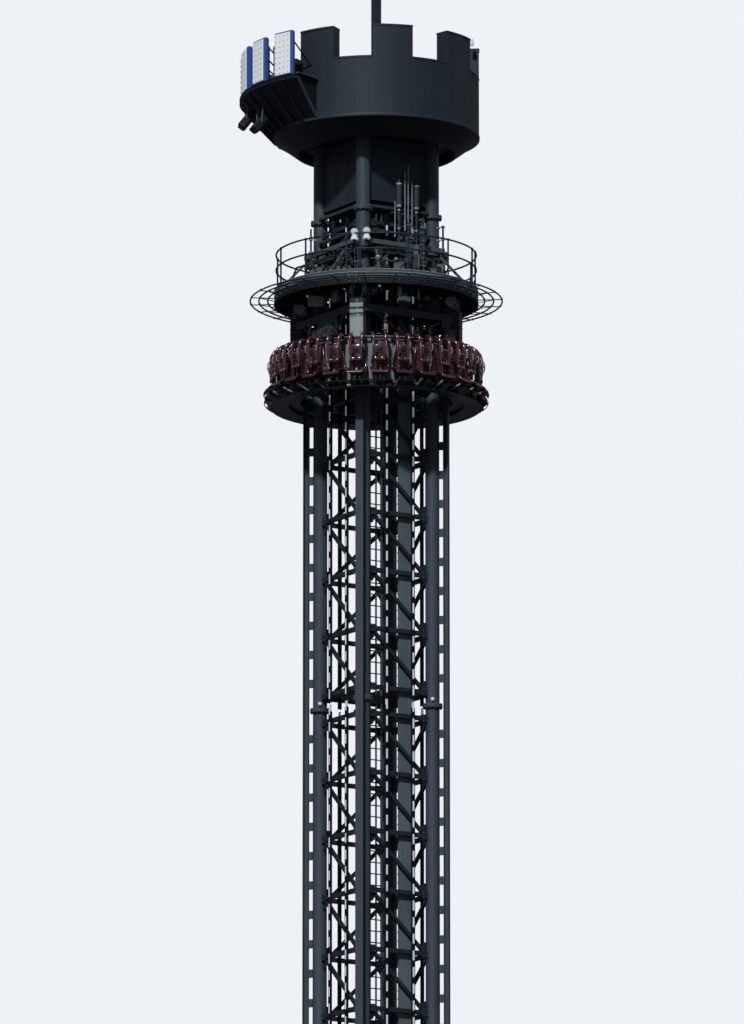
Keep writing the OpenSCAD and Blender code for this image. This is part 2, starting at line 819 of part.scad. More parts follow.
// A cabinet with a hood, on a plate that hangs from the upper beam
module carriage_cabinet(k, beam_level) {
    face = beam_back + beam_depth + fit;
    plate = 6;
    rim = 2 * plate;
    half = cabinet_widths[k] / 2;
    low = beam_level - cabinet_drop;
    high = low + cabinet_height;
    front = face + cabinet_depth;
    translate([cabinet_places[k], 0, 0]) {
        block(-half, half, -front, -face - plate, low, high);
        block(-half - plate, half + plate, -front - rim, -face - plate, high, high + plate);
        block(-half + rim, half - rim, -front - plate, -front, low + rim, high - rim);
        block(rim - half, half - rim, -face - plate, -face, low + rim, beam_level + beam_height);
    }
}

module carriage_frame() {
    low = slew_top + lower_beam_rise;
    high = carriage_top - beam_height - upper_beam_drop;
    color("darkslategray") {
        at_diagonals() carriage_post();
        for (f = [0:3]) on_face(f) {
            carriage_beam(low);
            carriage_beam(high);
            carriage_brace(low + beam_height / 2, high + beam_height / 2);
            carriage_cabinet(f, high);
        }
    }
}

// Guide wheels in the posts, each on an axle between the post's walls
module guide_wheels() {
    axle_length = post_width - 2 * post_wall - 2 * fit;
    r = rail_face + wheel_diameter / 2 + 0.6;
    color("dimgray") at_diagonals() for (z = [slew_top + 140, carriage_top - 120])
        translate([r, 0, z]) rotate([90, 0, 0]) {
            cylinder(d = wheel_diameter, h = wheel_thickness, center = true);
            cylinder(d = wheel_diameter / 3, h = axle_length, center = true);
        }
}

module slew_ring() {
    color("gray") for (i = [0:7]) rotate([0, 0, 45 * i]) ring_sector(45, slew_outer)
        polygon([[slew_inner, slew_bottom], [slew_outer, slew_bottom], [slew_outer, groove_bottom],
            [slew_outer - groove_depth, groove_bottom],
            [slew_outer - groove_depth, groove_bottom + groove_height],
            [slew_outer, groove_bottom + groove_height], [slew_outer, slew_top],
            [slew_inner, slew_top]]);
}

// Seat ring

// Bolted segments of the turning ring: back wall and the tongue that runs in the groove
module ring_segments() {
    tongue_low = groove_bottom + fit;
    tongue_high = groove_bottom + groove_height - fit;
    tongue = slew_outer - groove_depth + 1;
    color("gray") for (i = [0:segment_count - 1])
        rotate([0, 0, ring_turn + seat_angle / 2 + i * segment_angle])
            ring_sector(segment_angle, wall_outer)
                polygon([[ring_inner, wall_bottom], [wall_outer, wall_bottom],
                    [wall_outer, wall_bottom + ring_wall_height],
                    [ring_inner, wall_bottom + ring_wall_height], [ring_inner, tongue_high],
                    [tongue, tongue_high], [tongue, tongue_low], [ring_inner, tongue_low]]);
}

// Bow-tie plates on the wall's foot, one over each joint between two segments
module joint_plates() {
    half = joint_plate_length / 2;
    waist = joint_plate_height * 0.3;
    high = joint_plate_height / 2;
    color("gray") for (i = [0:segment_count - 1])
        rotate([0, 0, ring_turn + seat_angle / 2 + (i + 0.5) * segment_angle])
            translate([wall_outer + fit, 0, wall_bottom + high]) rotate([90, 0, 90])
                linear_extrude(joint_plate_thickness)
                    polygon([[-half, -high], [-half / 2, -waist], [half / 2, -waist], [half, -high],
                        [half, high], [half / 2, waist], [-half / 2, waist], [-half, high]]);
}

// Ribs under the seats, and spines behind them that carry the restraints' pivots
module seat_frames() {
    color("dimgray") for (i = [0:seat_count - 1]) rotate([0, 0, ring_turn + i * seat_angle]) {
        seat_rib();
        seat_spine();
    }
}

// A floor rib with lightening holes, and a pair of struts from the wall's foot up to a bar under the pan
module seat_rib() {
    outer = spine_face + rib_reach;
    high = pan_level - shell_thickness - fit;
    foot = [spine_face + strut_size, gondola_bottom + 2.5 * strut_size];
    bar = [outer - 4 * strut_size, high - strut_size / 2];
    rotate([90, 0, 0]) translate([0, 0, -floor_rib / 2]) linear_extrude(floor_rib) difference() {
        polygon([[spine_face, gondola_bottom + 30], [outer - 120, gondola_bottom],
            [outer - 30, gondola_bottom + 60], [outer - 60, high], [spine_face, high]]);
        for (share = [0.22, 0.5])
            translate([spine_face + share * rib_reach, (gondola_bottom + high) / 2 + floor_rib])
                circle(d = rib_hole);
    }
    for (s = [-1, 1]) translate([foot[0], s * strut_spacing / 2, foot[1]])
        rotate([0, atan2(bar[0] - foot[0], bar[1] - foot[1]), 0])
            translate([-strut_size / 2, -strut_size / 2, 0])
                cube([strut_size, strut_size, norm(bar - foot)]);
    for (end = [foot, bar]) translate([end[0], 0, end[1]])
        cube([1.2 * strut_size, strut_spacing + 2 * strut_size, strut_size], center = true);
}

module seat_spine() {
    low = pan_level - shell_thickness;
    lug_in = arm_out + 3;
    lug_out = lug_in + lug_thickness;
    block(spine_face, spine_face + spine_thickness, -spine_width / 2, spine_width / 2,
        low, back_top + 14);
    block(spine_face, spine_face + 34, -lug_out, lug_out, back_top + fit, back_top + 14);
    for (s = [-1, 1]) {
        translate([0, s * (lug_in + lug_out) / 2, 0]) rotate([90, 0, 0])
            translate([0, 0, -lug_thickness / 2]) linear_extrude(lug_thickness)
                polygon([[spine_face, back_top + fit], [pivot_out - 6, back_top + fit],
                    [pivot_out + 14, pivot_height - 10], [pivot_out + 14, pivot_height + 10],
                    [pivot_out, pivot_height + 16], [spine_face, pivot_height + 6]]);
        translate([pivot_out, s * (lug_in + lug_out) / 2, pivot_height]) rotate([s * 90, 0, 0])
            cylinder(d = pivot_pin, h = lug_thickness / 2 + 26);
    }
}

// Side outline of a seat, with x out from the axis: back, pan with a rolled lip, and sides in a round
module seat_side() {
    b = seat_back_face;
    low = pan_level - shell_thickness;
    lip = shell_thickness / 2;
    front = b + pan_depth - lip;
    side_x = b + bolster_reach;
    side_z = pan_level + bolster_height;
    polygon([[b, low], [b + pan_depth / 6, low], [front, pan_level + lip / 2 - lip],
        [front, pan_level + lip / 2 + lip], [front - pan_depth / 4, side_z], [side_x, side_z],
        [side_x, pan_level + 0.7 * back_height], [b + 1.6 * shell_thickness, back_top],
        [b, back_top]]);
    translate([front, pan_level + lip / 2]) circle(r = lip);
    difference() {
        translate([side_x - 1, side_z - 1]) square(seat_corner + 1);
        translate([side_x + seat_corner, side_z + seat_corner]) circle(r = seat_corner);
    }
}

// Side outline of the hollow in a seat, over its pan and before its back
module seat_hollow_side() {
    inner = seat_back_face + shell_thickness;
    front = seat_back_face + pan_depth;
    r = seat_corner;
    polygon([[inner, back_top + 1], [inner, pan_level + r], [inner + r, pan_level],
        [front - pan_depth / 4, pan_level], [front + 1, pan_level + shell_thickness * 0.75],
        [front + 1, back_top + 1]]);
    translate([inner + r, pan_level + r]) circle(r = r);
}

// Front outline of a seat, set in from its rim: a round head end, wide bolsters and cut lower corners
module seat_front(margin, floor_level, corner) {
    half = seat_width / 2 - margin;
    head = head_width / 2 - margin;
    crown = back_top - head_width / 2;
    waist = pan_level + bolster_height + seat_corner;
    polygon([[-half, floor_level + corner], [-half + corner, floor_level],
        [half - corner, floor_level], [half, floor_level + corner], [half, waist],
        [head, crown], [-head, crown], [-half, waist]]);
    translate([0, crown]) circle(r = head);
}

// A front outline carried out over the seat's whole depth
module through_seat() {
    translate([seat_back_face - 1, 0, 0]) rotate([90, 0, 90])
        linear_extrude(pan_depth + 2) children();
}

// A side outline carried across the seat's whole width
module across_seat(width) {
    rotate([90, 0, 0]) linear_extrude(width, center = true) children();
}

module seat_shells() {
    corner = 1.5 * bolster_thickness;
    color("maroon") for (i = [0:seat_count - 1]) rotate([0, 0, ring_turn + i * seat_angle])
        difference() {
            intersection() {
                across_seat(seat_width + 2) seat_side();
                through_seat() seat_front(0, pan_level - shell_thickness, corner);
            }
            intersection() {
                across_seat(seat_width) seat_hollow_side();
                through_seat() seat_front(bolster_thickness, pan_level - fit, corner);
            }
        }
}

// A pad on the back and a pad on the pan of each seat
module seat_pads() {
    margin = bolster_thickness + 6;
    back = seat_back_face + shell_thickness + fit;
    front = seat_back_face + 0.72 * pan_depth;
    color("maroon") for (i = [0:seat_count - 1]) rotate([0, 0, ring_turn + i * seat_angle])
        intersection() {
            across_seat(seat_width) {
                translate([back, pan_level + seat_corner + fit])
                    square([pad_thickness, back_height - seat_corner - 0.3 * head_width]);
                translate([back + seat_corner, pan_level + fit])
                    square([front - back - seat_corner, pad_thickness]);
            }
            through_seat() seat_front(margin, pan_level + fit, margin);
        }
}

// One arm of a restraint, in its own plane: a tube bent over the shoulder, with padding round it
module restraint_arm() {
    bend = (restraint_reach ^ 2 + shoulder_drop ^ 2) / (2 * restraint_reach);
    start = 180 - atan2(shoulder_drop, restraint_reach - bend);
    padded = 100;
    collar = 6;
    slimmer = (restraint_padding + restraint_tube) / 2;
    pad_end = -0.7 * restraint_length;
    translate([restraint_reach - bend, 0, -shoulder_drop]) rotate([90, 0, 0]) {
        rotate([0, 0, padded + collar]) rotate_extrude(angle = start - padded - collar)
            translate([bend, 0]) circle(d = restraint_tube);
        rotate([0, 0, padded]) rotate_extrude(angle = collar) translate([bend, 0]) circle(d = slimmer);
        rotate_extrude(angle = padded) translate([bend, 0]) circle(d = restraint_padding);
    }
    translate([restraint_reach, 0, pad_end])
        cylinder(d = restraint_padding, h = -shoulder_drop - pad_end);
    translate([restraint_reach, 0, pad_end - 12]) cylinder(d1 = slimmer, d2 = restraint_padding, h = 12);
    translate([restraint_reach, 0, restraint_tube / 2 - restraint_length])
        cylinder(d = restraint_tube, h = restraint_length - restraint_tube / 2 + pad_end - 12);
}

// A flat hand loop in front of an arm
module hand_loop() {
    width = 15;
    rotate([90, 0, 0]) translate([restraint_reach, -0.4 * restraint_length, -width / 2])
        linear_extrude(width) difference() {
            square([2 * hand_loop_reach, 2 * hand_loop_reach], center = true);
            square([2 * hand_loop_reach - 2 * width, 2 * hand_loop_reach - 2 * width], center = true);
            translate([-2 * hand_loop_reach, -2 * hand_loop_reach])
                square([2 * hand_loop_reach, 4 * hand_loop_reach]);
            for (s = [-1, 1]) translate([hand_loop_reach, s * hand_loop_reach])
                rotate([0, 0, 45]) square(0.5 * hand_loop_reach, center = true);
        }
}

// An over-shoulder restraint: pivot tube, two padded arms with hand loops, chest pad and cross bar
module restraint(i) {
    half = restraint_width / 2;
    pad_low = -0.7 * restraint_length;
    neck = half - restraint_padding / 2 - 4;
    color("maroon") rotate([0, 0, ring_turn + (i - 1) * seat_angle])
        translate([pivot_out, 0, pivot_height]) difference() {
            union() {
                rotate([90, 0, 0]) cylinder(d = restraint_tube + 6, h = 2 * arm_out, center = true);
                for (s = [-1, 1]) translate([0, s * half, 0]) {
                    restraint_arm();
                    hand_loop();
                }
                translate([restraint_reach - chest_pad_thickness / 2, 0, pad_low])
                    rotate([90, 0, 90]) linear_extrude(chest_pad_thickness) difference() {
                        translate([-half, 0]) square([2 * half, chest_pad_height]);
                        translate([0, chest_pad_height + neck / 2]) circle(r = neck);
                    }
                translate([restraint_reach, 0, restraint_tube / 2 - restraint_length])
                    rotate([90, 0, 0]) cylinder(d = restraint_tube + 4, h = 2 * arm_out, center = true);
            }
            rotate([90, 0, 0]) cylinder(d = pivot_pin + 2 * fit, h = 4 * arm_out, center = true);
        }
}

base_frame();
column(1, 1);  // column_ne
column(-1, 1);  // column_nw
column(-1, -1);  // column_sw
column(1, -1);  // column_se
lattice(0);  // lattice_south
lattice(1);  // lattice_east
lattice(2);  // lattice_north
lattice(3);  // lattice_west
guide_rails();
light_strips();
landings();
ladder();
cable_riser();
deck();
railing();
guard_rings();
head_frame();
antennas();  // head_frame
head_sheaves();
head_cladding();
crown_wall();
crown_floor();
mast();
sign_shelf();
sign_panels();
carriage_frame();
guide_wheels();
slew_ring();
ring_segments();
joint_plates();  // ring_segments
seat_frames();
seat_shells();
seat_pads();
restraint(1);
restraint(2);
restraint(3);
restraint(4);
restraint(5);
restraint(6);
restraint(7);
restraint(8);
restraint(9);
restraint(10);
restraint(11);
restraint(12);
restraint(13);
restraint(14);
restraint(15);
restraint(16);
restraint(17);
restraint(18);
restraint(19);
restraint(20);
restraint(21);
restraint(22);
restraint(23);
restraint(24);
restraint(25);
restraint(26);
restraint(27);
restraint(28);
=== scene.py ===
"""The finish of a drop tower ride at 1:2 scale: paint, lamps, bolts, railings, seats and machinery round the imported
frame. Lengths are in metres."""

import math

import bpy
import numpy as np

from mathutils import Matrix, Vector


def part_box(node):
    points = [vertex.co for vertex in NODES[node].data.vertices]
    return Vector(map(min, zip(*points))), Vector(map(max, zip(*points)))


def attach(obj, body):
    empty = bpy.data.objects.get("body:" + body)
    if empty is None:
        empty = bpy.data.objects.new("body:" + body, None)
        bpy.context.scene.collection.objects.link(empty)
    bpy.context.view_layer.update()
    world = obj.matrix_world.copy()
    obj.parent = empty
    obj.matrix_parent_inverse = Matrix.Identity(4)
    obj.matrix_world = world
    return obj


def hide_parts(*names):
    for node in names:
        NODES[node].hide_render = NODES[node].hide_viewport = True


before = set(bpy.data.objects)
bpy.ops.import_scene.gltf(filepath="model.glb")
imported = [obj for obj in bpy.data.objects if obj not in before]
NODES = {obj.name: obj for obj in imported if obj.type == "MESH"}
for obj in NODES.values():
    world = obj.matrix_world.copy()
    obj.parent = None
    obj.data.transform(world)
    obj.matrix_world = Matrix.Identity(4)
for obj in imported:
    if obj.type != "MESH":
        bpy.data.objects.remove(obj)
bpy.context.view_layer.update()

PHOTO_WIDTH, PHOTO_HEIGHT = 744, 1024

# The photograph's view: the camera stands 245 m from the real tower and looks up at its head
VIEW_AZIMUTH = -31.9
CAMERA_AWAY = 122.3
CAMERA_HEIGHT = 3.5
AIM_HEIGHT = 28.783
AXIS_PIXEL = 376.2
PIXELS_PER_METRE = 76.3


def node_box(name):
    """Lowest and highest corner of a CAD node, as arrays."""
    low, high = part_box(name)
    return np.array(low), np.array(high)


# Sizes read from the frame
COLUMN_LOW, COLUMN_HIGH = node_box("column_ne")
FLANGE_RADIUS = (COLUMN_HIGH[0] - COLUMN_LOW[0]) / 2
COLUMN_AT = (COLUMN_HIGH[0] + COLUMN_LOW[0]) / 2
DECK_HIGH = node_box("deck")[1]
DECK_LEVEL = DECK_HIGH[2]
DECK_RADIUS = DECK_HIGH[0]
CROWN_LOW, CROWN_HIGH = node_box("crown_wall")
CROWN_RADIUS = CROWN_HIGH[0]
CLADDING_LOW, CLADDING_HIGH = node_box("head_cladding")
STRIP_LOW, STRIP_HIGH = node_box("light_strips")
SHELL_LOW, SHELL_HIGH = node_box("seat_shells")
RING_LOW, RING_HIGH = node_box("ring_segments")
POST_HIGH = node_box("carriage_frame")[1][2]

# Sizes written out here, as in the source or worked out from it
SECTION = 6.54
SECTION_COUNT = 5
SHAFT_TOP = SECTION * SECTION_COUNT
COLUMN_RADIUS = 0.093
CLADDING_FACE = 0.543
BAND_MIDDLE = DECK_LEVEL - 0.054
RAIL_LEVELS = DECK_LEVEL + 0.362, DECK_LEVEL + 0.568
CABINET_LEVEL = POST_HIGH - 0.354

# The seats' own sizes, as in the source or measured from it
SEAT_COUNT = 28
RING_TURN = math.radians(8.5)
SEAT_ANGLES = RING_TURN + np.arange(SEAT_COUNT) * 2 * np.pi / SEAT_COUNT
WALL_FACE = 1.1608
SEAT_BACK = WALL_FACE + 0.0126
BACK_TOP = SHELL_HIGH[2]
PAN_LEVEL = SHELL_LOW[2] + 0.022
GONDOLA_BOTTOM = RING_LOW[2] - 0.023
PIVOT = np.array([SEAT_BACK + 0.052, 0.0, BACK_TOP + 0.032])


# Shapes


class Shape:
    """Corners and faces gathered as arrays, with a finish number for each face, ready to become one mesh."""

    def __init__(self):
        self.points, self.faces, self.count = [], [], 0

    def add(self, points, faces, finish=0):
        """Adds corners, an (N, 3) array, and faces, a list of (M, sides) arrays of corner numbers."""
        points = np.asarray(points, float).reshape(-1, 3)
        for group in faces if isinstance(faces, list) else [faces]:
            group = np.asarray(group, int)
            if len(group):
                self.faces.append((group + self.count, finish))
        self.points.append(points)
        self.count += len(points)
        return self

    def add_placed(self, part, turns, spots, finish=0):
        """Copies of a part, (points, faces): each corner turned by a place's 3 by 3 turn, then moved to its spot."""
        points, faces = part
        spots = np.atleast_2d(spots)
        turns = np.broadcast_to(turns, (len(spots), 3, 3))
        placed = np.einsum("pij,nj->pni", turns, points) + spots[:, None, :]
        step = np.arange(len(spots))[:, None, None] * len(points)
        groups = faces if isinstance(faces, list) else [faces]
        copies = [(g[None] + step).reshape(-1, g.shape[1]) for g in map(np.asarray, groups) if len(g)]
        return self.add(placed.reshape(-1, 3), copies, finish)

    def mesh(self, name, smooth_angle=None):
        """One Blender object with all that was added, its corners put in by whole arrays."""
        points = np.concatenate(self.points).astype(np.float32)
        sizes = np.concatenate([np.full(len(f), f.shape[1]) for f, _ in self.faces])
        corners = np.concatenate([f.ravel() for f, _ in self.faces])
        marks = np.concatenate([np.full(len(f), m) for f, m in self.faces])
        mesh = bpy.data.meshes.new(name)
        mesh.vertices.add(len(points))
        mesh.vertices.foreach_set("co", points.ravel())
        mesh.loops.add(len(corners))
        mesh.loops.foreach_set("vertex_index", corners.astype(np.int32))
        mesh.polygons.add(len(sizes))
        mesh.polygons.foreach_set("loop_start", (np.cumsum(sizes) - sizes).astype(np.int32))
        mesh.polygons.foreach_set("loop_total", sizes.astype(np.int32))
        mesh.polygons.foreach_set("material_index", marks.astype(np.int32))
        mesh.update(calc_edges=True)
        mesh.validate()
        if smooth_angle is not None:
            mesh.shade_smooth()
            mesh.set_sharp_from_angle(angle=math.radians(smooth_angle))
        made = bpy.data.objects.new(name, mesh)
        bpy.context.scene.collection.objects.link(made)
        return made


def piece(shape, name, body, finishes, smooth_angle=35, replaces=()):
    """Makes a shape into a finished piece that rides on a body, and hides the CAD nodes it replaces."""
    made = shape.mesh(name, smooth_angle)
    for finish in finishes if isinstance(finishes, (list, tuple)) else [finishes]:
        made.data.materials.append(finish)
    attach(made, body)
    if replaces:
        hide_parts(*replaces)
    return made


def grid_faces(rows, columns, wrap_rows=False, wrap_columns=False):
    """Four-cornered faces of a grid of points numbered row by row, closed round either way where asked."""
    r = np.arange(rows if wrap_rows else rows - 1)[:, None]
    c = np.arange(columns if wrap_columns else columns - 1)[None, :]
    r2, c2 = (r + 1) % rows, (c + 1) % columns
    quads = np.stack([r * columns + c, r * columns + c2, r2 * columns + c2, r2 * columns + c], -1)
    return quads.reshape(-1, 4)


def round_outline(radius, sides, turn=0.5):
    """A regular outline: the point at angle a is (radius cos a, radius sin a)."""
    a = (np.arange(sides) + turn) * 2 * np.pi / sides
    return np.stack([np.cos(a), np.sin(a)], -1) * radius


def box_outline(width, height, bevel):
    """A rectangle with cut corners, counter-clockwise."""
    w, h, b = width / 2, height / 2, bevel
    return np.array([(w, -h + b), (w, h - b), (w - b, h), (-w + b, h), (-w, h - b), (-w, -h + b), (-w + b, -h),
                     (w - b, -h)])


def smooth(points, count):
    """A smooth line through given points: between two of them runs the cubic whose slope at each end is half the way
    from the point before it to the point after it."""
    p = np.asarray(points, float)
    p = np.concatenate([2 * p[:1] - p[1:2], p, 2 * p[-1:] - p[-2:-1]])
    t = np.linspace(0, len(p) - 3, count)
    i = np.minimum(t.astype(int), len(p) - 4)
    f = (t - i)[:, None] if p.ndim > 1 else t - i
    a, b, c, d = p[i], p[i + 1], p[i + 2], p[i + 3]
    return b + 0.5 * f * (c - a + f * (2 * a - 5 * b + 4 * c - d + f * (3 * (b - c) + d - a)))


def swept(path, outline, up=(0, 0, 1), closed=False, swell=None):
    """An outline carried along a path: each point is the path's, plus its first number times the side direction
    (path direction × up), plus its second times the direction square to both. Swell scales the outline at each step."""
    path, outline, up = np.asarray(path, float), np.asarray(outline, float), np.asarray(up, float)
    if closed:
        along = np.roll(path, -1, 0) - np.roll(path, 1, 0)
    else:
        along = np.gradient(path, axis=0)
    along /= np.linalg.norm(along, axis=1, keepdims=True)
    side = np.cross(along, up)
    side /= np.linalg.norm(side, axis=1, keepdims=True)
    over = np.cross(side, along)
    rows, columns = len(path), len(outline)
    outline = np.broadcast_to(outline,
                              (rows, columns, 2)) * (1 if swell is None else np.asarray(swell).reshape(rows, 1, -1))
    points = path[:, None] + outline[..., :1] * side[:, None] + outline[..., 1:] * over[:, None]
    faces = [grid_faces(rows, columns, closed, True)]
    points = points.reshape(-1, 3)
    if not closed:
        ends = np.stack([path[0], path[-1]])
        points = np.concatenate([points, ends])
        k = np.arange(columns)
        first = np.stack([k, (k + 1) % columns, np.full(columns, rows * columns)], -1)
        last = np.stack([(k + 1) % columns, k, np.full(columns, rows * columns + 1 - (rows - 1) * columns)],
                        -1) + (rows - 1) * columns
        faces.append(np.concatenate([first, last]))
    return points, [face[:, ::-1] for face in faces]


def carried_round(profile, angles):
    """A profile of (radius, height) points at each of some angles round Z: (r cos a, r sin a, z)."""
    profile, a = np.asarray(profile, float), np.asarray(angles)[:, None]
    return np.stack(np.broadcast_arrays(profile[:, 0] * np.cos(a), profile[:, 0] * np.sin(a), profile[:, 1]), -1)


def turned(profile, sides):
    """A profile of (radius, height) points carried once round Z."""
    points = carried_round(profile, np.arange(sides) * 2 * np.pi / sides)
    return points.reshape(-1, 3), [grid_faces(sides, len(profile), True, False)]


def block(size, bevel):
    """A block with cut edges: the eight corners of a box, each split into three points set back along two axes."""
    half = np.asarray(size, float) / 2
    signs = np.array([(x, y, z) for x in (-1, 1) for y in (-1, 1) for z in (-1, 1)], float)
    back = half - bevel
    points = np.stack([signs * np.where(np.arange(3) == axis, half, back) for axis in range(3)], 1).reshape(-1, 3)

    def corner(x, y, z, axis):
        return ((x * 2 + y) * 2 + z) * 3 + axis

    sides, edges, tips = [], [], []
    for axis in range(3):
        b, c = (axis + 1) % 3, (axis + 2) % 3
        for s in (0, 1):
            ring = []
            for u, v in ((0, 0), (1, 0), (1, 1), (0, 1)):
                at = [0, 0, 0]
                at[axis], at[b], at[c] = s, u, v
                ring.append(corner(*at, axis))
            sides.append(ring if s else ring[::-1])
        for u, v in ((0, 0), (1, 0), (1, 1), (0, 1)):
            ends = []
            for w in (0, 1):
                at = [0, 0, 0]
                at[axis], at[b], at[c] = w, u, v
                ends.append((corner(*at, b), corner(*at, c)))
            quad = [ends[0][0], ends[1][0], ends[1][1], ends[0][1]]
            edges.append(quad if (u + v) % 2 == 0 else quad[::-1])
    for x in (0, 1):
        for y in (0, 1):
            for z in (0, 1):
                tip = [corner(x, y, z, 0), corner(x, y, z, 1), corner(x, y, z, 2)]
                tips.append(tip if (x + y + z) % 2 else tip[::-1])
    return points, [np.array(sides), np.array(edges)[:, ::-1], np.array(tips)]


def rounded(size, power=0.5, rows=7, columns=16):
    """A rounded block: at height angle p and round angle a its point is half the size times
    (cos p × cos a, cos p × sin a, sin p), each sine and cosine raised to a power, under 1 for squarer forms."""
    p = np.linspace(-np.pi / 2, np.pi / 2, rows + 2)[1:-1, None]
    a = (np.arange(columns) * 2 * np.pi / columns)[None]

    def pull(v):
        return np.sign(v) * np.abs(v) ** power

    half = np.asarray(size, float) / 2
    points = np.stack([pull(np.cos(p)) * pull(np.cos(a)), pull(np.cos(p)) * pull(np.sin(a)),
                       pull(np.sin(p)) + 0 * a], -1).reshape(-1, 3)
    points = np.concatenate([points, [(0, 0, -1), (0, 0, 1)]]) * half
    k = np.arange(columns)
    n = rows * columns
    low = np.stack([(k + 1) % columns, k, np.full(columns, n)], -1)
    high = np.stack([k, (k + 1) % columns, np.full(columns, n + 1 - (rows - 1) * columns)], -1) + (rows - 1) * columns
    return points, [grid_faces(rows, columns, False, True), np.concatenate([low, high])]


def two_skins(front, back):
    """Two grids of points, one behind the other, joined by a strip round the rim. It gives the rim's numbers too."""
    rows, columns = front.shape[:2]
    face = grid_faces(rows, columns)
    n = rows * columns
    number = np.arange(n).reshape(rows, columns)
    rim = np.concatenate([number[0, :-1], number[:-1, -1], number[-1, :0:-1], number[:0:-1, 0]])
    after = np.roll(rim, -1)
    strip = np.stack([rim, after, after + n, rim + n], -1)
    points = np.concatenate([front.reshape(-1, 3), back.reshape(-1, 3)])
    return points, [face[:, ::-1], face + n, strip], rim


def shell(grid, thickness):
    """A curved sheet given a thickness: a second skin lies behind each grid point, along the normal there. The normal
    is the cross product of the grid's two directions."""
    normal = np.cross(np.gradient(grid, axis=0), np.gradient(grid, axis=1))
    normal /= np.maximum(np.linalg.norm(normal, axis=2, keepdims=True), 1e-9)
    return two_skins(grid, grid - normal * thickness)


def upright(angles):
    """Turns about Z, one for each angle, as 3 by 3 arrays: X goes to the angle's direction."""
    a = np.atleast_1d(np.asarray(angles, float))
    c, s, o, i = np.cos(a), np.sin(a), np.zeros_like(a), np.ones_like(a)
    return np.stack([np.stack([c, -s, o], -1), np.stack([s, c, o], -1), np.stack([o, o, i], -1)], 1)


def ring_spots(radius, angles, height):
    """Points at a radius from the axis, one for each angle."""
    a = np.atleast_1d(np.asarray(angles, float))
    return np.stack([radius * np.cos(a), radius * np.sin(a), np.broadcast_to(height, a.shape)], -1)


QUARTER_TURNS = [upright(quarter * np.pi / 2)[0] for quarter in range(4)]


# Finishes

# Where a Mix node keeps its first value and its result, for plain numbers and for colours
MIX_SOCKETS = {"FLOAT": (2, 0), "RGBA": (6, 2)}
PAINT_SHEEN = {"Specular IOR Level": 0.22}
# Black painted in as shade on the seat ring's inside and lowest band.
PAINTED_SHADE_BLACK = 0.006, 0.008, 0.012


class Wire:
    """A shader socket that takes part in sums as a number does."""

    def __init__(self, finish, socket):
        self.finish, self.socket = finish, socket

    def maths(self, operation, other):
        """A Math node on this socket and another value."""
        return self.finish.node("ShaderNodeMath", {"operation": operation}, {0: self, 1: other})

    def __add__(self, other):
        return self.maths("ADD", other)

    def __mul__(self, other):
        return self.maths("MULTIPLY", other)

    def __gt__(self, other):
        return self.maths("GREATER_THAN", other)

    __radd__ = __add__
    __rmul__ = __mul__


class Finish:
    """A material in the making, with its shader's fixed values set on the shader itself."""

    def __init__(self, name, colour, roughness, metallic=0.0, **fixed):
        self.material = bpy.data.materials.new(name)
        self.material.use_nodes = True
        self.tree = self.material.node_tree
        self.shader = self.tree.nodes["Principled BSDF"]
        values = {"Base Color": (*colour, 1.0), "Roughness": roughness, "Metallic": metallic, **fixed}
        for socket, value in values.items():
            self.shader.inputs[socket].default_value = value

    def node(self, kind, settings=None, sockets=None, output=0):
        """Adds a node of a kind, sets it up, joins or fills its sockets and gives one output as a Wire."""
        made = self.tree.nodes.new(kind)
        for key, value in (settings or {}).items():
            setattr(made, key, value)
        for key, value in (sockets or {}).items():
            self.join(made.inputs[key], value)
        return Wire(self, made.outputs[output])

    def join(self, socket, value):
        """Links a Wire to a socket, or fills it with a value."""
        if isinstance(value, Wire):
            self.tree.links.new(value.socket, socket)
        else:
            socket.default_value = value

    def place(self):
        """Object coordinates."""
        return self.node("ShaderNodeTexCoord", output="Object")

    def axis(self, number):
        """One of the three object coordinates."""
        return self.node("ShaderNodeSeparateXYZ", None, {0: self.place()}, number)

    def noise(self, scale, detail=3.0, roughness=0.55, stretch=(1, 1, 1)):
        """Clouds of a scale; a small stretch number along an axis draws them out along it."""
        moved = self.node("ShaderNodeMapping", None, {"Vector": self.place(), "Scale": stretch})
        return self.node("ShaderNodeTexNoise", None,
                         {"Vector": moved, "Scale": scale, "Detail": detail, "Roughness": roughness})

    def mix(self, factor, first, second):
        """Mixes two colours, each a Wire or a triple."""
        first, second = ((*c, 1.0) if isinstance(c, tuple) else c for c in (first, second))
        start, result = MIX_SOCKETS["RGBA"]
        return self.node("ShaderNodeMix", {"data_type": "RGBA"}, {0: factor, start: first, start + 1: second}, result)

    def spread(self, factor, low, high):
        """A number that goes from low to high as the factor goes from 0 to 1."""
        return factor * (high - low) + low

    def bump(self, height, strength, distance):
        """A relief that tilts the shading only."""
        self.join(self.shader.inputs["Normal"],
                  self.node("ShaderNodeBump", None, {"Height": height, "Strength": strength, "Distance": distance}))

    def varies(self, **wires):
        """Joins wires to the shader's sockets, named with _ for a space, and gives the finished material."""
        for name, wire in wires.items():
            self.join(self.shader.inputs[name.replace("_", " ")], wire)
        return self.material


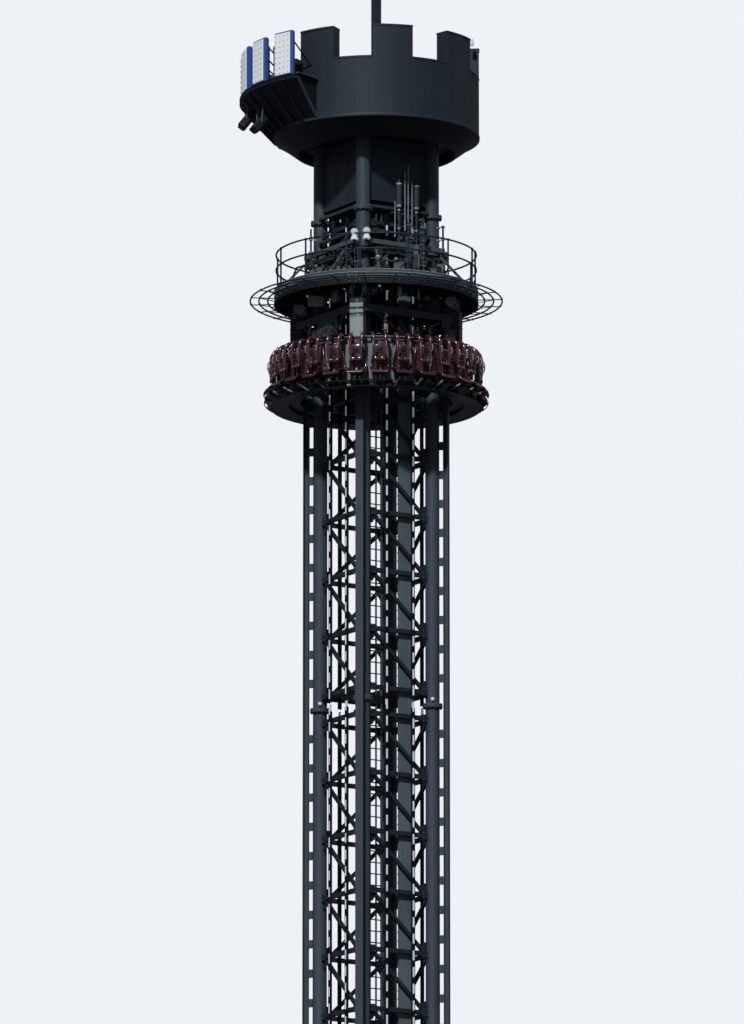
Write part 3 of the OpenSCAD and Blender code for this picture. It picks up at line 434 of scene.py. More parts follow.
def paint(name, colour, roughness=0.45, soil=0.25, grain=1.0, metallic=0.0):
    """Weathered paint: slow cloudy fading, streaks that run down, a fine orange peel and duller dirt."""
    f = Finish(name, colour, roughness, metallic, **PAINT_SHEEN)
    cloud = f.noise(1.3, 4.0, 0.6)
    streak = f.noise(9.0, 3.0, 0.6, (1, 1, 0.06))
    dirt = cloud * 0.6 + streak * 0.4
    pale = tuple(min(1.0, c * 1.35 + 0.002) for c in colour)
    dark = tuple(c * (1 - soil) for c in colour)
    tone = f.mix(f.spread(dirt, -0.4, 1.4), dark, pale)
    peel = f.noise(160.0, 2.0, 0.5)
    f.bump(peel, strength=0.12 * grain, distance=0.002)
    return f.varies(Base_Color=tone, Roughness=f.spread(dirt, roughness + 0.12, roughness - 0.1))


def steel(name, colour, roughness=0.4, metallic=0.85):
    """Rubbed steel: fine lengthways scratches and darker patches."""
    f = Finish(name, colour, roughness, metallic)
    scratch = f.noise(60.0, 3.0, 0.65, (1, 1, 0.08))
    patch = f.noise(5.0, 3.0, 0.6)
    tone = f.mix(patch, tuple(c * 0.6 for c in colour), tuple(min(1.0, c * 1.25) for c in colour))
    f.bump(scratch, strength=0.08, distance=0.001)
    return f.varies(Base_Color=tone, Roughness=f.spread(scratch, roughness - 0.12, roughness + 0.18))


def moulding(name, colour, roughness=0.35, coat=0.3):
    """Gloss moulding with a slight unevenness and a fine grain."""
    f = Finish(name, colour, roughness, **{"Coat Weight": coat, "Coat Roughness": 0.15})
    wave = f.noise(14.0, 2.0, 0.5)
    tone = f.mix(wave, tuple(c * 0.75 for c in colour), tuple(min(1.0, c * 1.3 + 0.004) for c in colour))
    f.bump(f.noise(220.0, 1.0, 0.5), strength=0.08, distance=0.001)
    return f.varies(Base_Color=tone, Roughness=f.spread(wave, roughness - 0.06, roughness + 0.1))


def vinyl(name, colour):
    """Padded vinyl: a pebbled grain over slow creases."""
    f = Finish(name, colour, 0.5)
    pebble = f.node("ShaderNodeTexVoronoi", None, {"Vector": f.place(), "Scale": 420.0}, "Distance")
    crease = f.noise(12.0, 3.0, 0.6)
    tone = f.mix(crease, tuple(c * 0.7 for c in colour), tuple(min(1.0, c * 1.4 + 0.006) for c in colour))
    f.bump(pebble * 0.5 + crease, strength=0.25, distance=0.002)
    return f.varies(Base_Color=tone, Roughness=f.spread(crease, 0.42, 0.6))


def walling(name, colour, roughness):
    """The seat ring's steel: pale paint on its outer face above the floor, and black painted shade inside and
    underneath. A point is outside where the root of x² + y² is past the wall's middle, so x² + y² is compared with that
    radius squared."""
    f = Finish(name, colour, roughness, **PAINT_SHEEN)
    x, y, z = (f.axis(number) for number in range(3))
    middle, floor = WALL_FACE - 0.022, RING_LOW[2] + 0.075
    # Painted shade: black wherever a point lies inside the wall's middle or below the floor level.
    outside = (x * x + y * y > middle * middle) * (z > floor)
    cloud = f.noise(2.2, 4.0, 0.6)
    streak = f.noise(12.0, 3.0, 0.6, (1, 1, 0.08))
    dirt = cloud * 0.5 + streak * 0.5
    tone = f.mix(f.spread(dirt, -0.4, 1.4), tuple(c * 0.7 for c in colour), tuple(c * 1.3 for c in colour))
    f.bump(f.noise(160.0, 2.0, 0.5), strength=0.12, distance=0.002)
    return f.varies(Base_Color=f.mix(outside, PAINTED_SHADE_BLACK, tone),
                    Roughness=f.spread(dirt, roughness + 0.1, roughness - 0.1))


def lamp(name, colour, glow, strength):
    """A lens lit from inside, its colour and glow made unevenly brighter and dimmer by fine noise."""
    f = Finish(name, colour, 0.25, **{"Emission Strength": strength})
    ripple = f.noise(90.0, 2.0, 0.5)
    return f.varies(Base_Color=f.mix(ripple, tuple(c * 0.85 for c in colour), colour),
                    Emission_Color=f.mix(ripple, tuple(c * 0.8 for c in glow), glow))


TOWER_PAINT = paint("tower_paint", (0.034, 0.050, 0.063), 0.5)
LATTICE_PAINT = paint("lattice_paint", (0.009, 0.016, 0.022), 0.55)
RAIL_STEEL = steel("rail_steel", (0.016, 0.030, 0.045), 0.55, 0.2)
CARRIER_BLACK = paint("carrier_black", (0.003, 0.006, 0.010), 0.55)
LADDER_ZINC = steel("ladder_zinc", (0.060, 0.080, 0.095), 0.55, 0.3)
RISER_GREEN = paint("riser_green", (0.075, 0.105, 0.118), 0.5, 0.3)
DECK_GREY = paint("deck_grey", (0.004, 0.006, 0.009), 0.65, 0.4)
BAND_GREY = paint("band_grey", (0.060, 0.074, 0.082), 0.5, 0.4)
RAILING_BLUE = paint("railing_blue", (0.010, 0.020, 0.034), 0.5, 0.2)
HEAD_GREY = paint("head_grey", (0.020, 0.030, 0.039), 0.5, 0.35)
SHEAVE_PALE = paint("sheave_pale", (0.21, 0.25, 0.28), 0.4)
CROWN_PAINT = paint("crown_paint", (0.011, 0.019, 0.029), 0.55, 0.2)
CROWN_DARK = paint("crown_dark", (0.003, 0.006, 0.010), 0.6, 0.3)
SIGN_WHITE = lamp("sign_white", (0.72, 0.74, 0.77), (0.9, 0.93, 0.97), 0.12)
# The carriage paint as the sun lights it: painted light on the front post's sleeve, and the own pale colour of the side
# tubes, collars and clamps.
SUNLIT_AND_PALE_CARRIAGE = paint("carriage_paint", (0.20, 0.245, 0.26), 0.5, 0.3)
CABINET_GREY = paint("cabinet_grey", (0.045, 0.056, 0.064), 0.5, 0.3)
# The same carriage paint darkened as painted shade, on the frame and on the other three posts.
SHADED_CARRIAGE_GREY = paint("shaded_carriage_grey", (0.022, 0.034, 0.044), 0.5, 0.3)
WHEEL_BLACK = moulding("wheel_black", (0.012, 0.012, 0.013), 0.6, 0.0)
SEAT_RING_PAINT_AND_SHADE = walling("ring_grey", (0.13, 0.155, 0.175), 0.5)
FRAME_DARK = paint("frame_dark", (0.004, 0.005, 0.008), 0.5, 0.3)
STRUT_PALE = paint("strut_pale", (0.26, 0.27, 0.27), 0.4, 0.3)
SHELL_MAROON = moulding("shell_maroon", (0.038, 0.008, 0.016), 0.26)
PAD_DARK = vinyl("pad_dark", (0.075, 0.016, 0.026))
RESTRAINT_MAROON = moulding("restraint_maroon", (0.058, 0.011, 0.023), 0.2, 0.7)
GRIP_PALE = moulding("grip_pale", (0.20, 0.20, 0.21), 0.35, 0.2)
PANEL_BLUE = paint("panel_blue", (0.018, 0.075, 0.26), 0.4)
BOLT_STEEL = steel("bolt_steel", (0.14, 0.17, 0.19), 0.45, 0.6)
LENS_WHITE = lamp("lens_white", (0.50, 0.56, 0.62), (0.8, 0.9, 1.0), 0.16)

NODE_FINISHES = {
    "base_frame": TOWER_PAINT, "guide_rails": RAIL_STEEL, "light_strips": CARRIER_BLACK,
    "landings": CARRIER_BLACK, "ladder": LADDER_ZINC, "cable_riser": RISER_GREEN, "deck": DECK_GREY,
    "railing": RAILING_BLUE, "guard_rings": RAILING_BLUE, "head_frame": HEAD_GREY, "head_sheaves": SHEAVE_PALE,
    "head_cladding": CROWN_PAINT, "crown_wall": CROWN_PAINT, "crown_floor": CROWN_DARK, "mast": CROWN_PAINT,
    # The carriage frame takes the carriage paint darkened as painted shade.
    "sign_shelf": CROWN_DARK, "sign_panels": SIGN_WHITE, "carriage_frame": SHADED_CARRIAGE_GREY,
    # The seat ring's finish is pale paint with black painted shade inside and underneath.
    "guide_wheels": WHEEL_BLACK, "slew_ring": FRAME_DARK, "ring_segments": SEAT_RING_PAINT_AND_SHADE,
    "seat_frames": FRAME_DARK, "seat_shells": SHELL_MAROON, "seat_pads": PAD_DARK,
}


def dress_nodes():
    """Each carried-over CAD node takes its finish in its own material slots."""
    for name, node in NODES.items():
        finish = NODE_FINISHES.get(name)
        if name.startswith("column"):
            finish = TOWER_PAINT
        if name.startswith("lattice"):
            finish = LATTICE_PAINT
        if name.startswith("restraint"):
            finish = RESTRAINT_MAROON
        if finish:
            node.data.materials.clear()
            node.data.materials.append(finish)


# Placing


def at_seats(shape, part, finish=0, angles=SEAT_ANGLES):
    """Copies of a part drawn at the axis with its front along +X, one turned to each angle."""
    return shape.add_placed(part, upright(angles), np.zeros((len(angles), 3)), finish)


def moved(part, spot):
    """A part with its corners shifted."""
    return part[0] + np.asarray(spot, float), part[1]


def block_at(size, bevel, spot):
    """A block with cut edges, its middle at a spot."""
    return moved(block(size, bevel), spot)


def spun(part, turn):
    """A part with its corners turned by a 3 by 3 turn."""
    return part[0] @ np.asarray(turn, float).T, part[1]


def tipped(angle, axis=1):
    """A turn by an angle about one axis."""
    c, s = math.cos(angle), math.sin(angle)
    rows = {0: [(1, 0, 0), (0, c, -s), (0, s, c)], 1: [(c, 0, s), (0, 1, 0), (-s, 0, c)],
            2: [(c, -s, 0), (s, c, 0), (0, 0, 1)]}
    return np.array(rows[axis])


def rod(start, end, radius, sides=10, up=(0.3, 0.5, 0.8)):
    """A straight round bar: a regular outline carried from one point to another."""
    return swept([start, end], round_outline(radius, sides), up)


def bar(path, width, height, bevel):
    """A bar with cut edges along a path."""
    return swept(path, box_outline(width, height, bevel))


def bolt(radius, height):
    """A hexagon head: a six-sided profile with a cut upper edge, its foot at zero height."""
    return turned([(0.0, height), (radius * 0.85, height), (radius, height * 0.8), (radius, 0.0)], 6)


def facing(direction):
    """A turn that brings +Z to a direction."""
    z = np.asarray(direction, float) / np.linalg.norm(direction)
    x = np.cross((0.31, 0.95, 0.07), z)
    x /= np.linalg.norm(x)
    return np.stack([x, np.cross(z, x), z], -1)


OUTWARD = facing((1, 0, 0))


def above(x, y, levels):
    """Points one above the other, one at each level."""
    return np.stack(np.broadcast_arrays(x, y, levels), -1)


# Shaft


def strip_lamps():
    """Lamps in the carriers on each face: bars with cut edges, one for each step up the carrier, each on two clips."""
    step, length = 0.218, 0.128
    back, front, offset = STRIP_HIGH[0] - 0.0285, STRIP_HIGH[0] + 0.002, 0.203
    part = block_at((front - back, 0.026, length), 0.004, ((front + back) / 2, 0, 0))
    clip = block_at((0.012, 0.034, 0.012), 0.002, (back + 0.007, 0, 0))
    heights = np.arange(STRIP_LOW[2] + step / 2, STRIP_HIGH[2] - length, step)
    shape = Shape()
    for turn in QUARTER_TURNS:
        for side in (-offset, offset):
            spots = above(0.0, side, heights) @ turn.T
            shape.add_placed(part, turn, spots)
            for rise in (-0.5, 0.5):
                shape.add_placed(clip, turn, spots + (0, 0, rise * length * 1.14), 1)
    return piece(shape, "strip_lamps", "tower", [LENS_WHITE, BOLT_STEEL])


def column_fixings():
    """Bolts round each column flange, above and below it, and long studs with nuts on the base plates."""
    count, circle, base_circle, thickness = 12, FLANGE_RADIUS - 0.018, 0.158, 0.024
    head = bolt(0.012, 0.014)
    shape = Shape()
    angles = (np.arange(count) + 0.5) * 2 * np.pi / count
    down = np.diag([1.0, -1.0, -1.0])
    stud = turned([(0.0, 0.075), (0.009, 0.072), (0.009, 0.0)], 8)
    nut = bolt(0.02, 0.02)
    for x in (-COLUMN_AT, COLUMN_AT):
        for y in (-COLUMN_AT, COLUMN_AT):
            ring = ring_spots(circle, angles, 0.0) + (x, y, 0)
            for level in np.arange(1, SECTION_COUNT + 1) * SECTION:
                shape.add_placed(head, np.eye(3), ring + (0, 0, level + thickness))
                shape.add_placed(head, down, ring + (0, 0, level - thickness))
            foot = ring_spots(base_circle, angles[::2] + 0.26, 0.04) + (x, y, 0)
            shape.add_placed(stud, np.eye(3), foot)
            shape.add_placed(nut, np.eye(3), foot)
    return piece(shape, "column_bolts", "tower", BOLT_STEEL)


def splice_lamps():
    """A round marker lamp on a bracket over the flange of two columns at every splice."""
    shape = Shape()
    lens = rounded((0.05, 0.05, 0.05), 0.9, 6, 12)
    for x, y in ((-1, 1), (1, -1)):
        out = np.array([x, y]) * COLUMN_AT
        away = out + np.array([-0.528, -0.849]) * (COLUMN_RADIUS + 0.03)
        for level in np.arange(1, SECTION_COUNT) * SECTION + 0.075:
            shape.add(*moved(lens, (*away, level)))
            shape.add(*block_at((0.03, 0.03, 0.03), 0.004, (*((out + away * 3) / 4), level)), 1)
    return piece(shape, "splice_lamps", "tower", [LENS_WHITE, FRAME_DARK])


def lattice_plates():
    """Splice plates with four bolts each, where the crosspieces of every bracing bay meet a column."""
    shape = Shape()
    bays, end, face = 8, 0.174, 0.561
    bay = (SECTION - 2 * end) / bays
    plate = block((0.008, 0.075, 0.1), 0.002)
    head = spun(bolt(0.007, 0.007), OUTWARD)
    levels = (np.arange(SECTION_COUNT)[:, None] * SECTION + end + np.arange(bays + 1) * bay).ravel()
    for turn in QUARTER_TURNS:
        for side in (-0.395, 0.395):
            spots = above(face + 0.004, side, levels)
            shape.add_placed(plate, turn, spots @ turn.T)
            for dy in (-0.024, 0.024):
                for dz in (-0.034, 0.034):
                    shape.add_placed(head, turn, (spots + (0.004, dy, dz)) @ turn.T, 1)
    return piece(shape, "bracing_plates", "tower", [LATTICE_PAINT, BOLT_STEEL])


# Deck


def ring_path(radius, height, low=0.0, high=360.0, count=128):
    """Points on part of a circle round the axis."""
    a = np.radians(np.linspace(low, high, count, endpoint=high - low < 360))
    return ring_spots(radius, a, height)


def railing_tubes():
    """Round rails bent to the deck's rim, with a weld collar at each post, a flanged foot and a sloping knee brace."""
    tube, margin = 0.012, 2.0
    radius = DECK_RADIUS - 2 * tube
    shape = Shape()
    round_tube = round_outline(tube, 10)
    posts = np.radians(np.array([-45 + 2 * margin + i * (90 - 4 * margin) / 3 for i in range(4)]))
    for quarter in range(4):
        middle = quarter * 90.0
        for level in RAIL_LEVELS:
            shape.add(*swept(ring_path(radius, level, middle - 45 + margin / 2, middle + 45 - margin / 2, 40),
                             round_tube))
        angles = posts + math.radians(middle)
        post = rod((radius, 0, DECK_LEVEL), (radius, 0, RAIL_LEVELS[1]), tube)
        foot = moved(turned([(0.0, 0.014), (0.034, 0.012), (0.036, 0.0)], 12), (radius, 0, DECK_LEVEL))
        brace = rod((radius - 0.10, 0, DECK_LEVEL + 0.005), (radius, 0, DECK_LEVEL + 0.2), 0.008, 8)
        collars = [moved(rounded((0.036, 0.036, 0.036), 0.8, 5, 10), (radius, 0, level)) for level in RAIL_LEVELS]
        for part in [post, foot, brace] + collars:
            at_seats(shape, part, 0, angles)
    return piece(shape, "deck_railing", "tower", RAILING_BLUE, smooth_angle=40, replaces=["railing"])


def guard_tubes():
    """Three round hoops outside the deck's rim on flat spokes with a clamp at each crossing."""
    tube = 0.011
    radii = DECK_RADIUS + np.array([0.086, 0.203, 0.316])
    shape = Shape()
    for quarter in range(4):
        for radius in radii:
            shape.add(*swept(ring_path(radius, BAND_MIDDLE, quarter * 90 - 44.5, quarter * 90 + 44.5, 44),
                             round_outline(tube, 10)))
    spokes = np.radians(-45 + (np.arange(24) + 0.5) * 15)
    length = 0.316
    at_seats(shape, block_at((length, 0.007, 0.014), 0.002, (DECK_RADIUS + length / 2, 0, BAND_MIDDLE - 0.009)), 0,
             spokes)
    stay = rod((DECK_RADIUS - 0.02, 0, BAND_MIDDLE - 0.05), (radii[1], 0, BAND_MIDDLE - 0.014), 0.006, 8)
    at_seats(shape, stay, 0, spokes)
    for radius in radii:
        at_seats(shape, block_at((0.028, 0.016, 0.026), 0.004, (radius, 0, BAND_MIDDLE)), 0, spokes)
    return piece(shape, "guard_hoops", "tower", RAILING_BLUE, smooth_angle=40, replaces=["guard_rings"])


def deck_rim():
    """The deck's edge: a toe board, a rolled lip under the band, and bolts where the quarters join."""
    shape = Shape()
    tall = 0.082
    board = [(DECK_RADIUS - 0.012, DECK_LEVEL), (DECK_RADIUS - 0.003, DECK_LEVEL),
             (DECK_RADIUS - 0.003, DECK_LEVEL + tall), (DECK_RADIUS - 0.006, DECK_LEVEL + tall + 0.003),
             (DECK_RADIUS - 0.012, DECK_LEVEL + tall), (DECK_RADIUS - 0.012, DECK_LEVEL)]
    shape.add(*turned(board, 144))
    for rise in (0.004, 0.044, tall):
        shape.add(*swept(ring_path(DECK_RADIUS - 0.001, DECK_LEVEL + rise), round_outline(0.005, 6), closed=True), 2)
    lip = swept(ring_path(DECK_RADIUS + 0.001, DECK_LEVEL - 0.106), round_outline(0.008, 8), closed=True)
    shape.add(*lip, 3)
    plates = np.radians([45, 135, 225, 315])
    at_seats(shape, block_at((0.012, 0.12, 0.085), 0.003, (DECK_RADIUS + 0.004, 0, BAND_MIDDLE)), 3, plates)
    head = spun(bolt(0.008, 0.008), OUTWARD)
    for side in (-0.04, 0.04):
        for rise in (-0.028, 0.028):
            at_seats(shape, moved(head, (DECK_RADIUS + 0.01, side, BAND_MIDDLE + rise)), 1, plates)
    many = np.radians(np.arange(3.75, 360, 7.5))
    at_seats(shape, moved(head, (DECK_RADIUS, 0, BAND_MIDDLE)), 1, many)
    return piece(shape, "deck_rim", "tower", [BAND_GREY, BOLT_STEEL, SHEAVE_PALE, DECK_GREY])


def seen(across, near, height):
    """A point by how it looks in the photograph: metres right of the axis, metres nearer the camera, and height."""
    a = math.radians(-VIEW_AZIMUTH)
    right, towards = np.array([math.cos(a), -math.sin(a)]), np.array([-math.sin(a), -math.cos(a)])
    return np.array([*(right * across + towards * near), height])


VIEW_TURN = upright(math.radians(VIEW_AZIMUTH))[0]


def square_to_view(size, bevel, spot):
    """A block that stands square to the photograph's view, its middle at a spot."""
    return moved(spun(block(size, bevel), VIEW_TURN), spot)


def deck_underside():
    """What hangs under the deck: ring pipes on saddles, small lamps, junction boxes with glands and rope pulleys."""
    shape = Shape()
    top = DECK_LEVEL - 0.016
    for radius in (0.98, 1.03):
        shape.add(*swept(ring_path(radius, top - 0.02), round_outline(0.009, 8), closed=True), 1)
    saddles = np.radians(np.arange(6, 360, 12))
    at_seats(shape, block_at((0.09, 0.02, 0.026), 0.004, (1.005, 0, top - 0.013)), 1, saddles)
    lens = rounded((0.034, 0.034, 0.034), 0.9, 5, 10)
    for across, near, drop in [(-0.41, 0.75, 0.05), (-0.30, 0.9, 0.055), (0.045, 1.0, 0.07), (0.148, 0.9, 0.12),
                               (0.844, 0.3, 0.06), (-0.9, 0.3, 0.05)]:
        spot = seen(across, near, DECK_LEVEL - drop)
        shape.add(*moved(lens, spot), 3)
        shape.add(*block_at((0.03, 0.03, 0.03), 0.004, spot + (0, 0, 0.024)), 1)
    boxes = [(-0.79, 0.35, 0.21, 0.155, 2), (-0.545, 0.62, 0.09, 0.07, 5), (-0.545, 0.62, 0.07, 0.16, 5),
             (0.305, 0.85, 0.055, 0.12, 2), (0.555, 0.7, 0.026, 0.14, 2), (-0.66, 0.72, 0.11, 0.10, 1),
             (0.45, 0.8, 0.10, 0.10, 1), (0.2, 0.95, 0.08, 0.12, 1), (-0.15, 0.85, 0.14, 0.1, 1),
             (0.4, -0.85, 0.16, 0.14, 2), (-0.4, -0.85, 0.12, 0.15, 1), (0.0, -0.95, 0.2, 0.12, 1)]
    for across, near, width, height, finish in boxes:
        spot = seen(across, near, top - 0.03 - height / 2)
        shape.add(*square_to_view((width, 0.07, height), 0.008, spot), finish)
        shape.add(*square_to_view((width * 0.86, 0.078, height * 0.8), 0.005, spot), finish)
        shape.add(*square_to_view((0.03, 0.03, 0.05), 0.003, spot + (0, 0, height / 2 + 0.016)), 1)
        for side in (-0.25, 0.25):
            foot = spot + VIEW_TURN @ (side * width, 0, -height / 2)
            shape.add(*rod(foot, foot - (0, 0, 0.02), 0.007, 8), 1)
    wheel = turned([(0.014, -0.012), (0.9, -0.012), (1.0, -0.014), (0.88, 0.0), (1.0, 0.014), (0.9, 0.012),
                    (0.014, 0.012)], 24)
    for across, near, drop, radius in [(-0.34, 0.88, 0.13, 0.05), (-0.125, 0.93, 0.125, 0.062),
                                       (-0.03, 0.93, 0.12, 0.055), (0.668, 0.5, 0.12, 0.05)]:
        points = wheel[0] * (radius, radius, 1)
        spot = seen(across, near, DECK_LEVEL - drop)
        side, hanger = facing(seen(0, 1, 0)), drop - 0.016
        shape.add(*moved(spun((points, wheel[1]), side), spot), 4)
        shape.add(*rod(spot - seen(0, 0.03, 0), spot + seen(0, 0.03, 0), 0.014, 10), 2)
        for offset in (-0.024, 0.024):
            shape.add(*square_to_view((0.03, 0.008, hanger), 0.002, spot + seen(0, offset, hanger / 2)), 1)
    return piece(shape, "deck_fittings", "tower",
                 [HEAD_GREY, CARRIER_BLACK, STRUT_PALE, LENS_WHITE, BAND_GREY, SHEAVE_PALE])


# Head


def head_struts(shape):
    """Sloping struts from the deck to the head's beams, with rails, cable trays and their hangers, on each side."""
    beam = DECK_LEVEL + 0.462
    reach = 0.66
    for turn in QUARTER_TURNS:
        for side in (-1, 1):
            strut = [(reach + 0.02, side * 0.62, DECK_LEVEL + 0.02), (reach, side * 0.2, beam)]
            shape.add(*spun(bar(strut, 0.032, 0.032, 0.004), turn), 1)
            knee = [(1.12, side * 0.42, DECK_LEVEL + 0.02), (1.12, side * 0.18, DECK_LEVEL + 0.3),
                    (0.70, side * 0.12, beam)]
            shape.add(*spun(bar(knee, 0.024, 0.024, 0.003), turn))
            brace = [(1.14, side * 0.66, DECK_LEVEL + 0.05), (0.80, side * 0.50, beam - 0.02)]
            shape.add(*spun(bar(brace, 0.03, 0.03, 0.004), turn), 1)
        for level in (0.2, 0.33):
            rail = [(reach + 0.045, across, DECK_LEVEL + level) for across in (-0.52, 0.52)]
            shape.add(*spun(swept(rail, round_outline(0.012, 8)), turn), 1)
        tray = [(reach + 0.06, -0.60, beam + 0.095), (reach + 0.06, 0.60, beam + 0.095)]
        shape.add(*spun(bar(tray, 0.055, 0.062, 0.004), turn), 1)
        for at in np.linspace(-0.55, 0.55, 6):
            shape.add(*spun(block_at((0.05, 0.02, 0.07), 0.003, (reach + 0.05, at, beam + 0.05)), turn))
        for level in (beam + 0.28, SHAFT_TOP + 0.03):
            shape.add(*spun(bar([(0.60, -0.44, level), (0.60, 0.44, level)], 0.045, 0.045, 0.005), turn))
        shape.add(*spun(bar([(0.61, -0.42, beam + 0.03), (0.61, 0.42, beam + 0.27)], 0.03, 0.03, 0.004), turn))


def louvred_housing(shape):
    """A housing inside the shaft, whose tilted blades keep the sky from showing through."""
    low, high, wall = DECK_LEVEL - 0.52, SHAFT_TOP + 0.10, 0.345
    blade = spun(block((0.012, 2 * wall - 0.03, 0.075), 0.003), tipped(0.5))
    for turn in QUARTER_TURNS:
        levels = np.arange(low + 0.04, high, 0.062)
        spots = above(wall, 0.0, levels)
        shape.add_placed(blade, turn, spots @ turn.T, 3)
        shape.add(*spun(block_at((0.115, 0.115, high - low), 0.01, (wall + 0.055, wall + 0.055, (low + high) / 2)),
                        turn), 3)
        for level in (low, (low + high) / 2, high):
            shape.add(*spun(block_at((0.04, 2 * wall, 0.05), 0.004, (wall + 0.006, 0, level)), turn), 3)


def deck_machines(shape):
    """Two grooved winch drums with flanges, cabinets, plates and upright rods with collars."""
    drum = turned([(0.0, -0.19), (0.13, -0.19), (0.13, -0.17), (0.085, -0.17)] +
                  [(0.085 + 0.006 * (i % 2), -0.16 + i * 0.02) for i in range(17)] +
                  [(0.085, 0.17), (0.13, 0.17), (0.13, 0.19), (0.0, 0.19)], 24)
    for across in (-0.1, 0.2):
        spot = seen(across, 0.9, DECK_LEVEL + 0.1)
        shape.add(*moved(spun(drum, facing(seen(1, 0, 0)) * 0.62), spot), 0)
    cabinets = [(0.30, 0.9, 0.16, 0.3), (-0.46, 0.78, 0.14, 0.24), (-0.05, 1.05, 0.1, 0.16),
                (0.72, 0.55, 0.16, 0.26), (-0.72, 0.45, 0.16, 0.3), (-0.3, -0.9, 0.22, 0.34),
                (0.35, -0.9, 0.16, 0.26), (-0.83, 0.25, 0.1, 0.42), (0.86, 0.2, 0.1, 0.42)]
    for across, near, width, height in cabinets:
        spot = seen(across, near, DECK_LEVEL + height / 2 + 0.004)
        shape.add(*square_to_view((width, 0.11, height), 0.008, spot), 0)
        shape.add(*square_to_view((width * 0.86, 0.118, height * 0.86), 0.005, spot), 1)
        shape.add(*square_to_view((0.014, 0.13, 0.05), 0.003, spot + VIEW_TURN @ (width * 0.33, 0, 0)), 2)
    plates = [(0.52, 0.80, 0.10, 0.40), (0.52, 0.80, 0.07, 0.52)]
    for across, near, width, height in plates:
        shape.add(*square_to_view((width, 0.03, height), 0.005, seen(across, near, DECK_LEVEL + height / 2)), 1)
    rods = [(-0.28, 1.0, 0.02, 0.42, 0.011), (-0.24, 1.0, 0.02, 0.42, 0.011), (0.42, 0.9, 0.02, 0.8, 0.011),
            (0.45, 0.9, 0.02, 0.8, 0.011), (0.06, 1.0, 0.02, 0.45, 0.011), (0.62, 0.74, 0.02, 0.9, 0.016),
            (0.585, 0.74, 0.3, 0.9, 0.012), (-0.86, 0.1, 0.02, 0.9, 0.014), (0.88, 0.1, 0.02, 0.95, 0.014),
            (-0.8, 0.3, 0.3, 0.85, 0.010), (0.82, 0.3, 0.3, 0.9, 0.010)]
    for across, near, foot, top, radius in rods:
        shape.add(*rod(seen(across, near, DECK_LEVEL + foot), seen(across, near, DECK_LEVEL + top), radius, 8), 0)
        for level in np.arange(foot + 0.06, top, 0.17):
            shape.add(*moved(rounded((0.05, 0.05, 0.03), 0.6, 5, 10), seen(across, near, DECK_LEVEL + level)),
                      2 if near < 0.5 else 1)


def head_machinery():
    """What fills the head above the deck, all in one piece."""
    shape = Shape()
    head_struts(shape)
    louvred_housing(shape)
    deck_machines(shape)
    return piece(shape, "head_machinery", "tower", [HEAD_GREY, BAND_GREY, SHEAVE_PALE, CARRIER_BLACK])


def head_lamps():
    """Two round flood lamps with flared hoods over the front corner, two work lamps low on the deck and three more."""
    shape = Shape()
    bowl = turned([(0.0, -0.07), (0.02, -0.07), (0.035, -0.05), (0.052, -0.01), (0.058, 0.0), (0.058, 0.012),
                   (0.05, 0.012)], 18)
    glass = turned([(0.05, 0.012), (0.03, 0.02), (0.0, 0.023)], 18)
    hood = turned([(0.022, 0.0), (0.03, 0.0), (0.056, -0.062), (0.05, -0.062)], 14)
    spots = [(-0.285, 1.0, 0.655, 0.9, 0.92), (-0.125, 1.02, 0.665, 0.9, 0.92), (0.02, 1.08, 0.30, 0.5, 0.5),
             (0.26, 0.98, 0.30, 0.5, 0.36), (-0.5, -0.8, 0.6, -0.9, 0.8), (0.4, -0.8, 0.6, -0.9, 0.8),
             (0.62, 0.72, 0.78, 0.5, 0.6)]
    for across, near, rise, towards, size in spots:
        spot = seen(across, near, DECK_LEVEL + rise)
        turn = facing(seen(0, towards, -0.35)) * size
        shape.add(*moved(spun(bowl, turn), spot), 1)
        shape.add(*moved(spun(glass, turn), spot), 0)
        if near > 0.99 and rise > 0.6:
            shape.add(*moved(hood, spot + seen(0, 0.0, -0.045)), 0)
        back = spot - seen(0, math.copysign(0.05, near), 0)
        drop = rise - (0.55 if rise > 0.5 else 0.01)
        shape.add(*rod(back, back - (0, 0, drop), 0.009, 8), 2)
        shape.add(*block_at((0.05, 0.05, 0.012), 0.003, back - (0, 0, drop)), 2)
    return piece(shape, "head_lamps", "tower", [LENS_WHITE, SHEAVE_PALE, HEAD_GREY])


